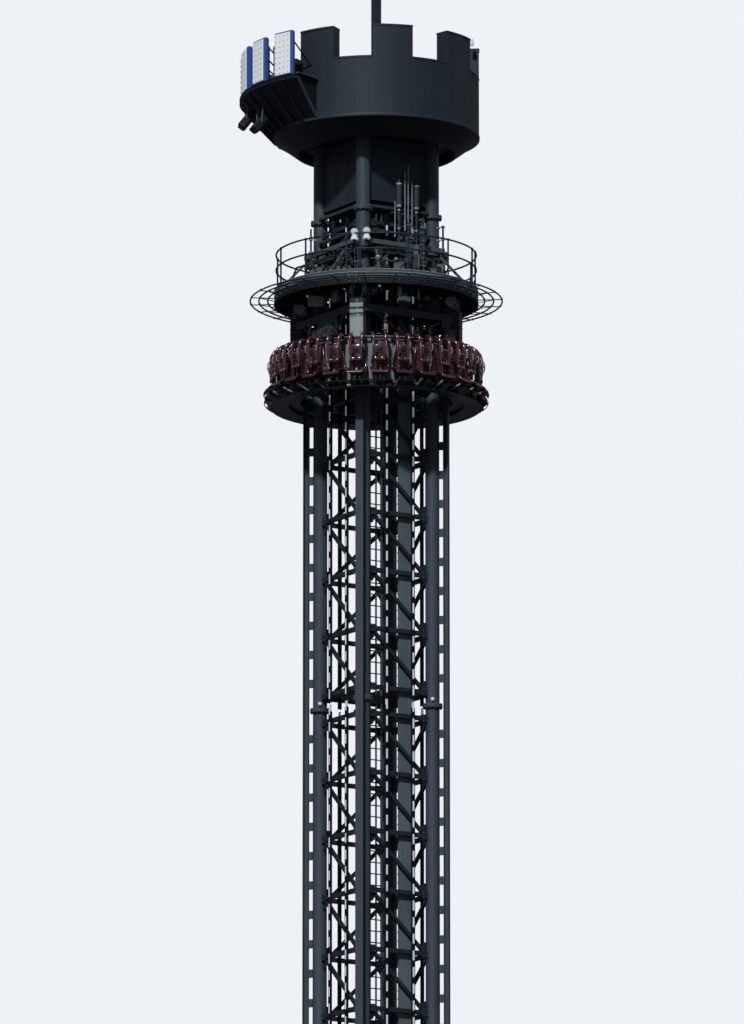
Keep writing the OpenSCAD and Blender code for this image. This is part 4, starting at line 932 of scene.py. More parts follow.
def antennas():
    """Collars on both antennas' covers and tubes, bare whips with thicker feet beside them, two cross bars on short
    arms, and feeder cables that bend down towards the deck."""
    shape = Shape()
    foot = SHAFT_TOP + 0.059
    line = -CLADDING_FACE - 0.115
    for x in (-0.057, 0.214):
        for level, radius in ((0.0, 0.03), (0.012, 0.034), (0.30, 0.038), (-0.05, 0.018), (-0.30, 0.018)):
            collar = [(0.006, -0.011), (radius, -0.011), (radius + 0.003, 0.0), (radius, 0.011), (0.006, 0.011)]
            shape.add(*moved(turned(collar, 16), (x, line, foot + level)), 1)
        cable = smooth([(x + 0.018, line, foot - 0.01), (x + 0.03, line + 0.005, foot - 0.1),
                        (x + 0.022, line + 0.01, foot - 0.3), (x + 0.03, line + 0.03, foot - 0.52),
                        (x + 0.01, line + 0.07, foot - 0.6)], 14)
        shape.add(*swept(cable, round_outline(0.006, 6), (1, 0.2, 0)), 2)
    for x, low, high in ((0.035, -0.32, 0.49), (0.085, -0.44, 0.56), (0.145, -0.37, 0.36), (-0.12, -0.42, 0.06)):
        shape.add(*rod((x, line, foot + low), (x, line, foot + high), 0.006, 8), 1)
        shape.add(*rod((x, line, foot + low), (x, line, foot + low + 0.14), 0.009, 8), 1)
    for level in (foot - 0.26, foot - 0.09):
        shape.add(*bar([(-0.16, line + 0.022, level), (0.26, line + 0.022, level)], 0.02, 0.028, 0.003), 0)
        for x in (-0.14, 0.235):
            shape.add(*bar([(x, line + 0.022, level), (x, line + 0.16, level)], 0.02, 0.02, 0.003), 0)
    return piece(shape, "antenna_fittings", "tower", [HEAD_GREY, SHEAVE_PALE, CARRIER_BLACK])


def cladding_trim():
    """A folded edge along the cladding's foot and screwed strips over its upright seams."""
    shape = Shape()
    foot, head = CLADDING_LOW[2], CLADDING_HIGH[2]
    half = 0.44
    screw = spun(turned([(0.0, 0.004), (0.005, 0.003), (0.0065, 0.0)], 8), OUTWARD)
    levels = np.arange(foot + 0.06, head - 0.05, 0.11)
    for turn in QUARTER_TURNS:
        edge = [(CLADDING_FACE, side * (half - 0.006), foot + 0.012) for side in (-1, 1)]
        shape.add(*spun(bar(edge, 0.012, 0.028, 0.003), turn))
        for side in (-0.146, 0.146):
            shape.add(*spun(block_at((0.004, 0.05, head - foot - 0.05), 0.001,
                                     (CLADDING_FACE + 0.001, side, (foot + head) / 2 + 0.01)), turn))
            for dy in (-0.018, 0.018):
                spots = above(CLADDING_FACE + 0.003, side + dy, levels)
                shape.add_placed(screw, turn, spots @ turn.T, 1)
    return piece(shape, "cladding_trim", "tower", [CROWN_PAINT, CROWN_DARK])


# Crown


def crown_trim():
    """Folded caps along the merlons and the notches, a drip edge under the wall and screwed strips over its joints."""
    shape = Shape()
    wall, play = 0.196, 0.004
    inner, outer = CROWN_RADIUS - wall - play, CROWN_RADIUS + play
    notch, top = CROWN_LOW[2] + 0.796, CROWN_HIGH[2]

    def cap(middle, span, level, drop=0.022):
        a = np.radians(np.linspace(middle - span / 2, middle + span / 2, 12))
        profile = np.array([(inner, -drop), (inner - 0.003, -drop), (inner - 0.003, 0.0), (inner + 0.002, 0.005),
                            (outer - 0.002, 0.005), (outer + 0.003, 0.0), (outer + 0.003, -drop), (outer, -drop),
                            (outer, 0.001), (inner, 0.001)])
        points = carried_round(profile + (0, level), a)
        shape.add(points.reshape(-1, 3), [grid_faces(*points.shape[:2], False, True)[:, ::-1]])

    for i in range(8):
        cap(22.5 + 45 * i, 22.6, top)
        cap(45 * i, 22.3, notch)
    drip = [(CROWN_RADIUS - 0.006, 0.0), (CROWN_RADIUS + 0.007, -0.012), (CROWN_RADIUS + 0.009, 0.012),
            (CROWN_RADIUS + 0.004, 0.03), (CROWN_RADIUS - 0.004, 0.03)]
    shape.add(*turned([(r, CROWN_LOW[2] + z) for r, z in drip], 160))
    seams = np.radians(np.arange(0, 360, 45))
    height = notch - CROWN_LOW[2] - 0.06
    at_seats(shape, block_at((0.004, 0.06, height), 0.001,
                             (CROWN_RADIUS + 0.001, 0, CROWN_LOW[2] + 0.03 + height / 2)), 0, seams)
    screw = spun(turned([(0.0, 0.003), (0.005, 0.002), (0.006, 0.0)], 6), OUTWARD)
    for level in np.arange(CROWN_LOW[2] + 0.08, notch - 0.04, 0.12):
        for side in (-0.022, 0.022):
            at_seats(shape, moved(screw, (CROWN_RADIUS + 0.003, side, level)), 1, seams)
    return piece(shape, "crown_trim", "tower", [CROWN_PAINT, CROWN_DARK])


def crown_fittings():
    """A beacon on the right merlon, four stays from a collar on the mast to plates, and the mast's foot bolts."""
    shape = Shape()
    beacon = turned([(0.0, 0.1), (0.016, 0.095), (0.022, 0.075), (0.022, 0.035), (0.03, 0.03), (0.03, 0.0)][::-1], 14)
    spot = seen(1.262, 0.2, CROWN_HIGH[2] + 0.004)
    shape.add(*moved(beacon, spot), 0)
    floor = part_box("mast")[0][2] + 0.02
    collar = floor + 1.15
    head = bolt(0.014, 0.014)
    shape.add_placed(head, np.eye(3), ring_spots(0.12, np.arange(8) * np.pi / 4 + 0.39, floor), 1)
    for a in np.arange(4) * np.pi / 2 + np.pi / 4:
        foot = ring_spots(CROWN_RADIUS - 0.24, a, floor)[0]
        shape.add(*rod(foot, ring_spots(0.06, a, collar)[0], 0.009, 8), 2)
        shape.add(*block_at((0.08, 0.08, 0.02), 0.004, foot), 2)
    shape.add(*block_at((0.13, 0.13, 0.05), 0.006, (0, 0, collar)), 2)
    return piece(shape, "crown_fittings", "tower", [LENS_WHITE, BOLT_STEEL, HEAD_GREY])


# Sign shelf


SHELF_MIDDLE, SHELF_SPAN, SHELF_REACH, PANELS = 135.0, 136.0, 0.44, 8
SHELF_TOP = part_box("sign_shelf")[1][2]
PANEL_ANGLES = np.radians(SHELF_MIDDLE - SHELF_SPAN / 2 + (np.arange(PANELS) + 0.5) * SHELF_SPAN / PANELS)


def light_panels():
    """Blank light boxes on braced posts: a blue case with cut edges, a white face on it and rows of small bulbs."""
    width, height, depth = 0.33, 0.61, 0.09
    back = CROWN_RADIUS + SHELF_REACH - depth - 0.01
    middle = SHELF_TOP + height / 2
    shape = Shape()
    at_seats(shape, block_at((depth - 0.012, width, height), 0.018, (back + depth / 2 - 0.006, 0, middle)), 0,
             PANEL_ANGLES)
    at_seats(shape, block_at((0.014, width - 0.05, height - 0.05), 0.006, (back + depth - 0.007, 0, middle)), 1,
             PANEL_ANGLES)
    bulb = spun(turned([(0.0, 0.012), (0.009, 0.009), (0.012, 0.0)][::-1], 8), OUTWARD)
    for side in np.linspace(-0.11, 0.11, 4):
        for rise in np.linspace(-0.25, 0.25, 8):
            at_seats(shape, moved(bulb, (back + depth, side, middle + rise)), 2, PANEL_ANGLES)
    for side in (-0.11, 0.11):
        at_seats(shape, rod((back - 0.02, side, SHELF_TOP), (back - 0.02, side, SHELF_TOP + 0.5), 0.014, 8), 3,
                 PANEL_ANGLES)
        at_seats(shape, rod((back - 0.02, side, SHELF_TOP + 0.48), (CROWN_RADIUS - 0.01, side, SHELF_TOP + 0.2),
                            0.01, 8), 3, PANEL_ANGLES)
    return piece(shape, "light_panels", "tower", [PANEL_BLUE, SIGN_WHITE, LENS_WHITE, CROWN_DARK],
                 smooth_angle=35, replaces=["sign_panels"])


def shelf_trim():
    """The shelf's rolled lip and end plates with a folded edge, ribs under it and three flood lamp boxes on rods."""
    shape = Shape()
    outer = CROWN_RADIUS + SHELF_REACH
    low, high = SHELF_MIDDLE - SHELF_SPAN / 2, SHELF_MIDDLE + SHELF_SPAN / 2
    for level in (SHELF_TOP - 0.004, SHELF_TOP - 0.056):
        shape.add(*swept(ring_path(outer + 0.002, level, low, high, 48), round_outline(0.007, 8)), 0)
    bottom = CROWN_LOW[2] + 0.02
    for angle, side in ((low, -1), (high, 1)):
        turn = upright(math.radians(angle))[0]
        edge = [(CROWN_RADIUS + 0.01, side * 0.012, SHELF_TOP + 0.006),
                (outer + 0.012, side * 0.012, SHELF_TOP + 0.006)]
        shape.add(*spun(bar(edge, 0.045, 0.014, 0.003), turn), 1)
        slope = [(outer + 0.004, side * 0.012, SHELF_TOP - 0.05), (CROWN_RADIUS + 0.012, side * 0.012, bottom + 0.005)]
        shape.add(*spun(bar(slope, 0.045, 0.012, 0.003), turn), 1)
    ribs = np.radians(np.linspace(low, high, 17)[1:-1])
    path = [(CROWN_RADIUS + 0.004, 0, bottom - 0.02), (outer - 0.02, 0, SHELF_TOP - 0.075)]
    at_seats(shape, bar(path, 0.014, 0.04, 0.003), 0, ribs)
    for angle, radius, drop, tilt in ((151, 1.72, 0.30, 0.9), (168, 1.64, 0.46, 0.9), (92, 1.70, 0.30, 0.9)):
        turn = upright(math.radians(angle))[0]
        at = turn @ np.array([radius, 0, 0]) + (0, 0, SHELF_TOP - drop)
        shape.add(*moved(spun(block((0.24, 0.20, 0.1), 0.012), turn @ tipped(tilt)), at), 0)
        shape.add(*moved(spun(block_at((0.20, 0.16, 0.01), 0.003, (0, 0, -0.054)), turn @ tipped(tilt)), at), 1)
        for side in (-0.11, 0.11):
            arm = turn @ np.array([radius, side, 0])
            shape.add(*rod(arm + (0, 0, SHELF_TOP - drop),
                           arm - turn @ np.array([0.03, 0, 0]) + (0, 0, SHELF_TOP - 0.07), 0.011, 8), 1)
    return piece(shape, "shelf_trim", "tower", [CROWN_DARK, BAND_GREY, LENS_WHITE])


# Carriage


def carriage_trim():
    """A pale sleeve on the front post as painted sunlight and dark ones on the others as painted shade, with bands,
    bolts and rope terminals above, and on each side a pale tube with collars, hanging rope clamps and thin stays
    between the upper beam and the ring."""
    inner = WALL_FACE - 0.171
    outer = WALL_FACE - 0.021
    middle, depth, width = (inner + outer) / 2, outer - inner, 0.171
    low = RING_HIGH[2] - 0.5
    shape = Shape()
    diagonals = np.pi / 4 + np.arange(4) * np.pi / 2
    skin = 0.003
    tall = POST_HIGH - low
    # Painted light: the front post's sleeve takes the pale sunlit copy of the paint, the other three its dark shaded
    # copy.
    front, others = diagonals[2:3], diagonals[[0, 1, 3]]
    for finish, corners in ((0, front), (3, others)):
        at_seats(shape, block_at((skin, width + 2 * skin, tall), 0.001,
                                 (outer + skin / 2 + 0.0005, 0, low + tall / 2)), finish, corners)
        for side in (-1, 1):
            at_seats(shape, block_at((depth * 0.99, skin, tall), 0.001,
                                     (middle, side * (width / 2 + skin / 2 + 0.0005), low + tall / 2)), finish, corners)
    for level, thick in ((POST_HIGH - 0.055, 0.016), (POST_HIGH - 0.135, 0.014), (POST_HIGH - 0.205, 0.014)):
        at_seats(shape, block_at((0.008, width + 0.012, thick), 0.002, (outer + 0.004, 0, level)), 1, diagonals)
        for side in (-1, 1):
            at_seats(shape, block_at((depth, 0.008, thick), 0.002, (middle, side * (width / 2 + 0.004), level)), 1,
                     diagonals)
    head = spun(bolt(0.009, 0.009), OUTWARD)
    for level in np.arange(RING_HIGH[2] - 0.45, POST_HIGH - 0.3, 0.17):
        for side in (-0.055, 0.055):
            at_seats(shape, moved(head, (outer + 0.003, side, level)), 2, diagonals)
    for side in (-0.085, 0.085):
        clevis = [(middle + 0.02, side * 0.6, POST_HIGH - 0.01), (middle + 0.03, side * 0.75, POST_HIGH + 0.05),
                  (middle + 0.035, side, POST_HIGH + 0.09)]
        at_seats(shape, swept(smooth(clevis, 7), round_outline(0.014, 8), (0, 1, 0)), 2, diagonals)
    at_seats(shape, block_at((depth * 0.8, width * 0.9, 0.02), 0.004, (middle, 0, POST_HIGH + 0.002)), 1, diagonals)
    beam, tube = 0.80, -0.36
    ring, top = RING_HIGH[2] + 0.01, POST_HIGH - 0.10
    sides = np.arange(4) * np.pi / 2
    at_seats(shape, rod((beam, tube, ring - 0.26), (beam, tube, top), 0.017, 12), 0, sides)
    for level in np.linspace(ring + 0.03, top - 0.05, 4):
        at_seats(shape, moved(rounded((0.052, 0.052, 0.024), 0.5, 5, 12), (beam, tube, level)), 0, sides)
        at_seats(shape, moved(rounded((0.040, 0.040, 0.014), 0.5, 5, 12), (beam, tube, level - 0.022)), 1, sides)
    for y, length in ((-0.12, 0.17), (-0.08, 0.12), (0.05, 0.22), (0.10, 0.15), (0.15, 0.20), (0.33, 0.24)):
        at_seats(shape, rod((beam - 0.03, y, top - 0.02), (beam - 0.03, y * 1.1, ring - 0.05), 0.006, 6), 1, sides)
        at_seats(shape, moved(rounded((0.03, 0.026, 0.085), 0.5, 5, 10), (beam - 0.03, y * 1.05, ring + length)), 0,
                 sides)
        at_seats(shape, block_at((0.022, 0.03, 0.03), 0.004, (beam - 0.03, y * 1.04, ring + length - 0.055)), 2, sides)
    return piece(shape, "carriage_trim", "gondola",
                 [SUNLIT_AND_PALE_CARRIAGE, FRAME_DARK, BOLT_STEEL, SHADED_CARRIAGE_GREY])


def carriage_cabinets():
    """The finish of the cabinets that hang on the carriage's beams: door panels with a folded edge, hinges, a handle,
    a row of vent slots and short conduits with glands below."""
    shape = Shape()
    face, low, tall = 0.9165, CABINET_LEVEL - 0.075, 0.15
    for quarter, half, place in ((0, 0.085, 0.570), (1, 0.26, 0.121), (2, 0.085, 0.570), (3, 0.26, 0.121)):
        turn = upright(quarter * np.pi / 2 - np.pi / 2)[0]
        middle = low + tall / 2

        def fix(part, finish):
            shape.add(*spun(part, turn), finish)

        doors = 1 if half < 0.1 else 2
        wide = (2 * half - 0.02) / doors
        for door in range(doors):
            y = place - half + 0.01 + wide * (door + 0.5)
            fix(block_at((0.006, wide - 0.008, tall - 0.012), 0.002, (face + 0.003, y, middle)), 0)
            for dz in (-0.045, 0.045):
                fix(rod((face + 0.007, y - wide / 2 + 0.012, middle + dz - 0.014),
                        (face + 0.007, y - wide / 2 + 0.012, middle + dz + 0.014), 0.005, 8), 2)
            fix(block_at((0.012, 0.012, 0.05), 0.003, (face + 0.01, y + wide / 2 - 0.03, middle)), 1)
            for dz in np.arange(-0.03, 0.04, 0.015):
                fix(block_at((0.004, min(0.08, wide * 0.4), 0.005), 0.001, (face + 0.007, y, middle + dz)), 1)
        for y in (place - half * 0.6, place + half * 0.5):
            fix(rod((face - 0.05, y, low + 0.002), (face - 0.05, y, low - 0.09), 0.009, 8), 1)
            fix(moved(turned([(0.010, 0.0), (0.016, 0.0), (0.014, -0.02), (0.010, -0.02)], 8),
                      (face - 0.05, y, low)), 2)
    return piece(shape, "cabinet_doors", "gondola", [CABINET_GREY, FRAME_DARK, HEAD_GREY])


# Seat ring


def ring_trim():
    """The turning ring: a rolled top edge, waisted panels between the seats with bolts, dark feet and pale clips below
    them, a foot flange, bolts on the joint plates, and the bars that link the restraints' pivots."""
    shape = Shape()
    top, low, panel = RING_HIGH[2], RING_LOW[2], WALL_FACE + 0.012
    between = SEAT_ANGLES + np.pi / SEAT_COUNT
    shape.add(*swept(ring_path(WALL_FACE - 0.0105, top - 0.001), round_outline(0.0075, 8), closed=True), 0)
    rise = np.array([0.10, 0.20, 0.30, 0.38, 0.46, 0.56, 0.64, top - low - 0.015])
    half = np.array([0.030, 0.030, 0.036, 0.047, 0.052, 0.050, 0.046, 0.046])
    rise, half = (smooth(v, 22) for v in (rise, half))
    front = np.stack([np.stack([0 * rise + panel, side * half, low + rise],
                               -1) for side in (-1, -0.9, 0.9, 1)], 1)
    front[:, [0, 3], 0] -= 0.012
    number = np.arange(front.shape[0] * 4).reshape(-1, 4)
    ends = np.array([number[0], number[-1][::-1]])
    at_seats(shape, (front.reshape(-1, 3), [grid_faces(front.shape[0], 4)[:, ::-1], ends]), 0, between)
    head = spun(bolt(0.006, 0.006), OUTWARD)
    for side in (-0.026, 0.026):
        for level in (0.12, 0.24, 0.36, 0.48, 0.60):
            at_seats(shape, moved(head, (panel, side, low + level)), 1, between)
    at_seats(shape, block_at((0.03, 0.10, 0.05), 0.006, (WALL_FACE + 0.014, 0, low + 0.085)), 2, between)
    at_seats(shape, block_at((0.018, 0.066, 0.026), 0.004, (panel, 0, low + 0.040)), 3, between[::2])
    at_seats(shape, block_at((0.016, 0.040, 0.030), 0.004, (panel, 0, low + 0.015)), 3, between[::2])
    flange = [(WALL_FACE - 0.002, low + 0.012), (WALL_FACE + 0.008, low + 0.010), (WALL_FACE + 0.008, low - 0.004),
              (WALL_FACE - 0.012, low - 0.004)]
    shape.add(*turned(flange, 160), 2)
    joints = RING_TURN + np.pi / SEAT_COUNT + (np.arange(SEAT_COUNT // 2) + 0.5) * 4 * np.pi / SEAT_COUNT
    for side in (-0.044, 0.044):
        for rise in (0.013, 0.053):
            at_seats(shape, moved(head, (WALL_FACE + 0.0143, side, low + rise)), 1, joints)
    turn = 2 * np.pi / SEAT_COUNT
    gap = 0.1085
    first = np.array([PIVOT[0], gap, PIVOT[2]])
    last = upright(turn)[0] @ np.array([PIVOT[0], -gap, 0]) + (0, 0, PIVOT[2])
    at_seats(shape, rod(first, last, 0.0125, 12), 2)
    along = last - first
    for share in (0.04, 0.96):
        at_seats(shape, rod(first + along * (share - 0.03), first + along * (share + 0.03), 0.019, 12), 2)
    return piece(shape, "ring_trim", "seat_ring", [SEAT_RING_PAINT_AND_SHADE, BOLT_STEEL, FRAME_DARK, STRUT_PALE])


def rib_hoops():
    """Two thin hoops along the ribs' lower corners, and a dark sheet under the ribs with a bolt below each seat."""
    shape = Shape()
    foot, outer = np.array([WALL_FACE + 0.2203, GONDOLA_BOTTOM]), np.array([WALL_FACE + 0.3103, GONDOLA_BOTTOM + 0.06])
    shape.add(*swept(ring_path(*foot, count=168), round_outline(0.007, 8), closed=True))
    shape.add(*swept(ring_path(*outer, count=168), round_outline(0.006, 8), closed=True))
    inner = np.array([WALL_FACE + 0.012, GONDOLA_BOTTOM + 0.026])
    sheet = [inner - (0, 0.001), foot - (0.012, 0.0005), foot - (0.012, 0.0035), inner - (0, 0.004), inner - (0, 0.001)]
    shape.add(*turned(sheet[::-1], 168))
    middle = inner * 0.4 + foot * 0.6 - (0, 0.004)
    head = spun(bolt(0.007, 0.006), facing((0, 0, -1)))
    at_seats(shape, moved(head, (middle[0], 0, middle[1])), 1)
    return piece(shape, "rib_hoops", "seat_ring", [FRAME_DARK, HEAD_GREY])


def seat_lines():
    """Two side lines of a seat, (out, up): along the middle of the shell, and along the edge of its wings; and half its
    width at each step: a round head end that widens down to the wings."""
    b, t, p = SEAT_BACK, BACK_TOP, PAN_LEVEL
    middle = smooth([(b + 0.020, t - 0.001), (b + 0.022, t - 0.014), (b + 0.023, t - 0.034), (b + 0.023, t - 0.058),
                     (b + 0.023, t - 0.12), (b + 0.023, t - 0.19), (b + 0.023, t - 0.26), (b + 0.024, p + 0.15),
                     (b + 0.031, p + 0.075), (b + 0.053, p + 0.028), (b + 0.10, p + 0.006), (b + 0.16, p + 0.003),
                     (b + 0.22, p + 0.004), (b + 0.266, p + 0.013), (b + 0.291, p + 0.010), (b + 0.300, p - 0.010)], 46)
    wing = smooth([(b + 0.032, t - 0.002), (b + 0.038, t - 0.016), (b + 0.046, t - 0.036), (b + 0.056, t - 0.060),
                   (b + 0.070, t - 0.12), (b + 0.080, t - 0.19), (b + 0.084, t - 0.26), (b + 0.087, p + 0.15),
                   (b + 0.100, p + 0.097), (b + 0.132, p + 0.074), (b + 0.170, p + 0.067), (b + 0.206, p + 0.064),
                   (b + 0.238, p + 0.054), (b + 0.270, p + 0.034), (b + 0.294, p + 0.013), (b + 0.301, p - 0.008)], 46)
    half = smooth([0.020, 0.040, 0.052, 0.058, 0.071, 0.085, 0.100, 0.113, 0.116, 0.117, 0.117, 0.1165, 0.115,
                   0.110, 0.103, 0.095], 46)
    return middle, wing, half


def seat_shells():
    """Moulded shells: across the seat, at angle a from -90 to 90 degrees, a point lies sideways by half the width times
    sin a to the power 0.6, and goes from the middle line to the wing line by 1 minus cos a to the power 0.7, so both
    sides curl up. A rolled edge runs round each shell."""
    middle, wing, half = seat_lines()
    a = np.linspace(-np.pi / 2, np.pi / 2, 15)
    side = np.sign(a) * np.abs(np.sin(a)) ** 0.6
    lift = 1 - np.abs(np.cos(a)) ** 0.7
    line = middle[:, None] + (wing - middle)[:, None] * lift[None, :, None]
    grid = np.stack([line[..., 0], half[:, None] * side[None, :], line[..., 1]], -1)
    points, faces, rim = shell(grid, -0.012)
    shape = Shape()
    at_seats(shape, (points, faces))
    edge = points[rim]
    at_seats(shape, swept(edge, round_outline(0.0085, 6), (0.37, 0.21, 0.9), closed=True))
    return piece(shape, "moulded_seats", "seat_ring", SHELL_MAROON, smooth_angle=60,
                 replaces=["seat_shells"])


def pad_on(middle, half, start, stop, lift, thick, channels):
    """A closed pad on the seat's middle line, from one step to another: over it, at (u, v) from -1 to 1, the height is
    the thickness times (1 - u⁶)^½ (1 - v⁶)^½, less a dip at each sewn channel."""
    rows, columns = 13, 9
    steps = np.linspace(start, stop, rows)
    index = np.arange(len(middle))
    line = np.stack([np.interp(steps, index, middle[:, k]) for k in (0, 1)], -1)
    width = np.interp(steps, index, half)
    along = np.gradient(line, axis=0)
    along /= np.linalg.norm(along, axis=1, keepdims=True)
    normal = np.stack([-along[:, 1], along[:, 0]], -1)
    u = np.linspace(-1, 1, rows)[:, None]
    v = np.sin(np.linspace(-np.pi / 2, np.pi / 2, columns))[None]
    crown = np.sqrt(np.clip(1 - u ** 6, 0, 1)) * np.sqrt(np.clip(1 - v ** 6, 0, 1))
    for channel in channels:
        crown[np.argmin(np.abs(u - channel))] *= 0.45
    y = v * width[:, None] * (1 - 0.08 * u ** 4)
    over = line[:, None] + normal[:, None] * (lift + thick * crown)[..., None]
    under = line[:, None] + normal[:, None] * np.full_like(crown, lift)[..., None]
    return two_skins(*(np.stack([side[..., 0], y, side[..., 1]], -1) for side in (over, under)))[:2]


def subdivided(points, faces):
    """A closed form put once through Subdivision Surface, which rounds its edges."""
    centre = points.mean(0)
    made = Shape().add(points - centre, faces).mesh("pad_in_work")
    made.modifiers.new("finer", "SUBSURF").levels = 1
    fine = made.evaluated_get(bpy.context.evaluated_depsgraph_get()).data
    corners = np.empty(len(fine.vertices) * 3, np.float32)
    fine.vertices.foreach_get("co", corners)
    quads = np.empty(len(fine.loops), np.int32)
    fine.loops.foreach_get("vertex_index", quads)
    part = corners.reshape(-1, 3).astype(float) + centre, [quads.reshape(-1, 4)]
    mesh = made.data
    bpy.data.objects.remove(made)
    bpy.data.meshes.remove(mesh)
    return part


def seat_cushions():
    """Back, head and seat pads in each shell: crowned forms worked out by formula and subdivided, not simulated."""
    middle, _, half = seat_lines()
    shape = Shape()
    pads = [(5.0, 12.6, 0.74, []), (13.4, 23.4, 0.78, [-0.34, 0.34]), (29.0, 39.4, 0.82, [0.0])]
    for start, stop, share, channels in pads:
        at_seats(shape, subdivided(*pad_on(middle, half * share, start, stop, 0.001, 0.013, channels)))
    made = piece(shape, "seat_cushions", "seat_ring", PAD_DARK, smooth_angle=50, replaces=["seat_pads"])
    return made


def seat_struts():
    """Pale round sleeves on the pair of struts under each seat, with clamps at both ends and bolts at the upper one."""
    shape = Shape()
    foot = np.array([WALL_FACE + 0.0183, 0.0, GONDOLA_BOTTOM + 0.045])
    head = np.array([WALL_FACE + 0.2683, 0.0, PAN_LEVEL - 0.0313])
    along = head - foot
    for side in (-0.045, 0.045):
        shift = np.array([0.0, side, 0.0])
        at_seats(shape, rod(foot + along * 0.05 + shift, foot + along * 0.97 + shift, 0.0134, 10))
        for share in (0.08, 0.95):
            spot = foot + along * share + shift
            at_seats(shape, rod(spot - along * 0.025, spot + along * 0.025, 0.0165, 10), 1)
    for side in (-0.022, 0.022):
        at_seats(shape, moved(spun(bolt(0.007, 0.006), OUTWARD), head + (0.0108, side, 0)), 1)
    return piece(shape, "seat_struts", "seat_ring", [STRUT_PALE, FRAME_DARK])


# Restraints


def restraint_shape(angle):
    """One over-shoulder restraint: two padded arms of oval section that bend over the shoulders and draw together
    towards the lap, a chest pad between them, a pivot tube with collars, pale hand loops and a cross grip."""
    line = smooth([(0.0, 0.0), (0.020, 0.020), (0.045, 0.032), (0.072, 0.035), (0.098, 0.030), (0.124, 0.015),
                   (0.146, -0.014), (0.154, -0.05), (0.155, -0.12), (0.155, -0.18), (0.154, -0.238), (0.154, -0.29),
                   (0.154, -0.327)], 30)
    along = np.linspace(0, 1, 30)
    swell = np.interp(along, [0, 0.06, 0.15, 0.4, 0.78, 0.86, 0.92, 1], [0.5, 0.52, 0.8, 1.05, 1.0, 0.9, 0.55, 0.5])
    spread = np.interp(along, [0, 0.15, 0.4, 0.6, 1], [0.074, 0.078, 0.084, 0.077, 0.060])
    oval = round_outline(1.0, 14) * (0.025, 0.024)
    chest, grip = -0.182, -0.327
    shape = Shape()
    turn = upright(angle)[0]

    def put_in(part, finish=0):
        shape.add(*spun(moved(part, PIVOT), turn), finish)

    for side in (-1, 1):
        path = np.stack([line[:, 0], side * spread, line[:, 1]], -1)
        put_in(swept(path, oval, (0, 1, 0), swell=swell[:, None]))
        loop = smooth([(0.168, side * 0.082, -0.094), (0.190, side * 0.086, -0.096), (0.200, side * 0.087, -0.112),
                       (0.200, side * 0.086, -0.156), (0.188, side * 0.082, -0.176), (0.166, side * 0.076, -0.178)], 14)
        put_in(swept(loop, round_outline(0.007, 8), (0, 1, 0)), 2)
        put_in(rod((0, side * 0.092, 0), (0, side * 0.056, 0), 0.021, 14), 1)
    put_in(rod((0, -0.093, 0), (0, 0.093, 0), 0.0165, 14), 1)
    put_in(moved(rounded((0.046, 0.132, 0.122), 0.45, 7, 18), (0.153, 0, chest)))
    put_in(moved(rounded((0.020, 0.080, 0.080), 0.4, 5, 14), (0.172, 0, chest)), 1)
    put_in(rod((0.154, -0.084, grip), (0.154, 0.084, grip), 0.014, 12), 1)
    for side in (-0.042, 0.042):
        put_in(moved(rounded((0.040, 0.070, 0.052), 0.5, 5, 12), (0.156, side, -0.316)), 0)
    put_in(moved(rounded((0.034, 0.05, 0.075), 0.5, 5, 12), (0.152, 0, -0.285)), 1)
    return shape


def restraints():
    """A restraint at each seat, in place of the CAD one and riding on its own body."""
    for number, angle in enumerate(SEAT_ANGLES, 1):
        name = f"restraint_{number:02d}"
        piece(restraint_shape(angle), name + "_padded", name + "_body",
              [RESTRAINT_MAROON, FRAME_DARK, GRIP_PALE], smooth_angle=60, replaces=[name])


# Stage


def aim(direction_from, target):
    """A turn that makes an object's -Z point from one place to another, with +Y up."""
    z = np.asarray(direction_from, float) - np.asarray(target, float)
    z /= np.linalg.norm(z)
    x = np.cross((0, 0, 1), z)
    x /= np.linalg.norm(x)
    return np.stack([x, np.cross(z, x), z], -1)


def put(obj, spot, target):
    """Places a camera or lamp at a spot, aimed at a target."""
    turn = aim(spot, target)
    obj.matrix_world = Matrix([[*turn[i], spot[i]] for i in range(3)] + [[0, 0, 0, 1]])
    bpy.context.scene.collection.objects.link(obj)
    return obj


def make_camera():
    """The camera looks at the tower's axis from the photograph's side, with its frame moved by the axis's pixel."""
    azimuth = math.radians(VIEW_AZIMUTH)
    spot = np.array([math.sin(azimuth) * CAMERA_AWAY, -math.cos(azimuth) * CAMERA_AWAY, CAMERA_HEIGHT])
    target = np.array([0, 0, AIM_HEIGHT])
    data = bpy.data.cameras.new("camera")
    data.sensor_fit = "AUTO"
    data.sensor_width = 36.0
    away = np.linalg.norm(spot - target)
    data.lens = PIXELS_PER_METRE * away / PHOTO_HEIGHT * data.sensor_width
    data.shift_x = (PHOTO_WIDTH / 2 - AXIS_PIXEL) / PHOTO_HEIGHT
    data.clip_end = 1000
    data.clip_start = 1.0
    bpy.context.scene.camera = put(bpy.data.objects.new("camera", data), spot, target)


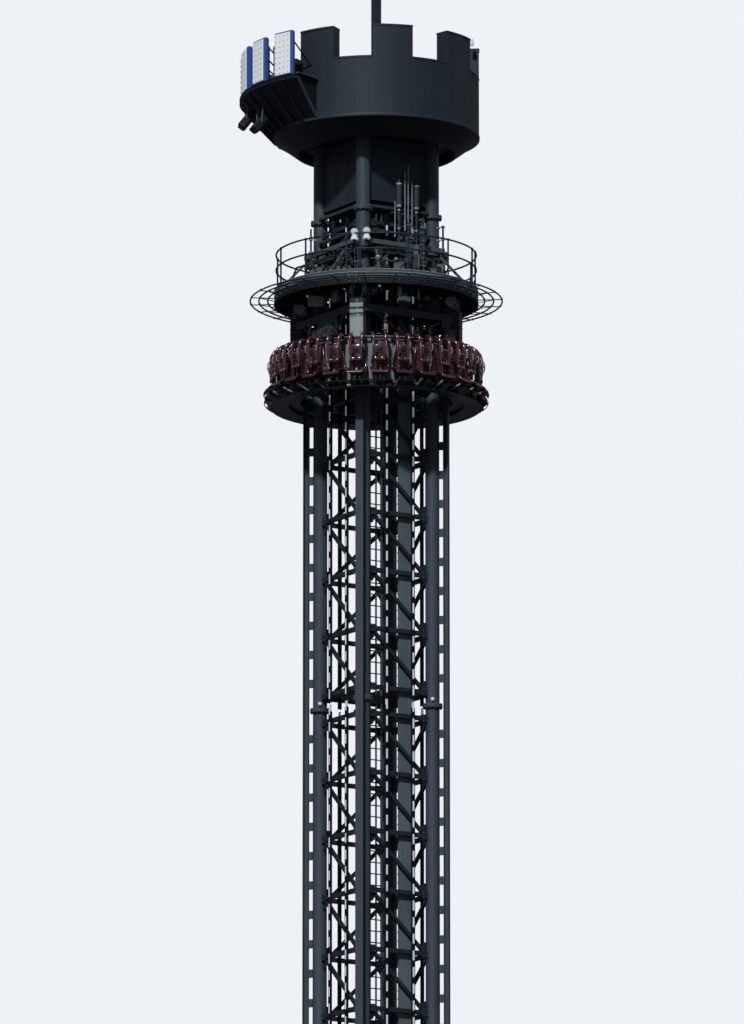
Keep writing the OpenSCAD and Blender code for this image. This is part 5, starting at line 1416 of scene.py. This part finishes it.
def make_lights():
    """A soft high key lamp near the photograph's sun, a weak fill from the other side and an even pale world."""
    def sun(name, azimuth, elevation, strength, spread):
        data = bpy.data.lights.new(name, "SUN")
        data.energy, data.angle = strength, math.radians(spread)
        a, e = math.radians(VIEW_AZIMUTH + azimuth), math.radians(elevation)
        spot = 60 * np.array([math.sin(a) * math.cos(e), -math.cos(a) * math.cos(e), math.sin(e)])
        put(bpy.data.objects.new(name, data), spot, np.zeros(3))

    sun("key", azimuth=-15, elevation=40, strength=3.3, spread=3)
    sun("fill", azimuth=110, elevation=25, strength=0.12, spread=40)
    world = bpy.data.worlds.new("studio")
    bpy.context.scene.world = world
    world.use_nodes = True
    back = world.node_tree.nodes["Background"]
    back.inputs["Color"].default_value = (0.90, 0.93, 0.97, 1)
    background_seen(world.node_tree, back.inputs["Strength"], "FLOAT", lighting=0.20, showing=0.95)


def background_seen(tree, socket, kind, lighting, showing):
    """Gives a socket one value for the rays that light the object, and another for those that show the background."""
    path = tree.nodes.new("ShaderNodeLightPath")
    either = tree.nodes.new("ShaderNodeMath")
    either.operation, either.use_clamp = "ADD", True
    tree.links.new(path.outputs["Is Camera Ray"], either.inputs[0])
    tree.links.new(path.outputs["Is Transmission Ray"], either.inputs[1])
    mix = tree.nodes.new("ShaderNodeMix")
    mix.data_type = kind
    first, result = MIX_SOCKETS[kind]
    mix.inputs[first].default_value, mix.inputs[first + 1].default_value = lighting, showing
    tree.links.new(either.outputs[0], mix.inputs[0])
    tree.links.new(mix.outputs[result], socket)


FLOOR_PALE = 0.78, 0.78, 0.77


def make_floor():
    """A plain pale floor under the tower's base, which throws little light up at the undersides."""
    size = 400.0
    shape = Shape().add([(-size, -size, 0), (size, -size, 0), (size, size, 0), (-size, size, 0)],
                        np.array([[0, 1, 2, 3]]))
    floor = shape.mesh("floor")
    pale = Finish("floor_pale", FLOOR_PALE, 0.9)
    background_seen(pale.tree, pale.shader.inputs["Base Color"], "RGBA", lighting=(0.10, 0.11, 0.13, 1),
                    showing=(*FLOOR_PALE, 1))
    floor.data.materials.append(pale.material)


bpy.context.scene.view_settings.view_transform = "Standard"
make_camera()
make_lights()
make_floor()
dress_nodes()
for make in (strip_lamps, column_fixings, splice_lamps, lattice_plates, railing_tubes, guard_tubes, deck_rim,
             deck_underside, head_machinery, head_lamps, antennas, cladding_trim, crown_trim, crown_fittings,
             light_panels, shelf_trim, carriage_trim, carriage_cabinets, ring_trim, rib_hoops, seat_shells,
             seat_cushions, seat_struts, restraints):
    make()
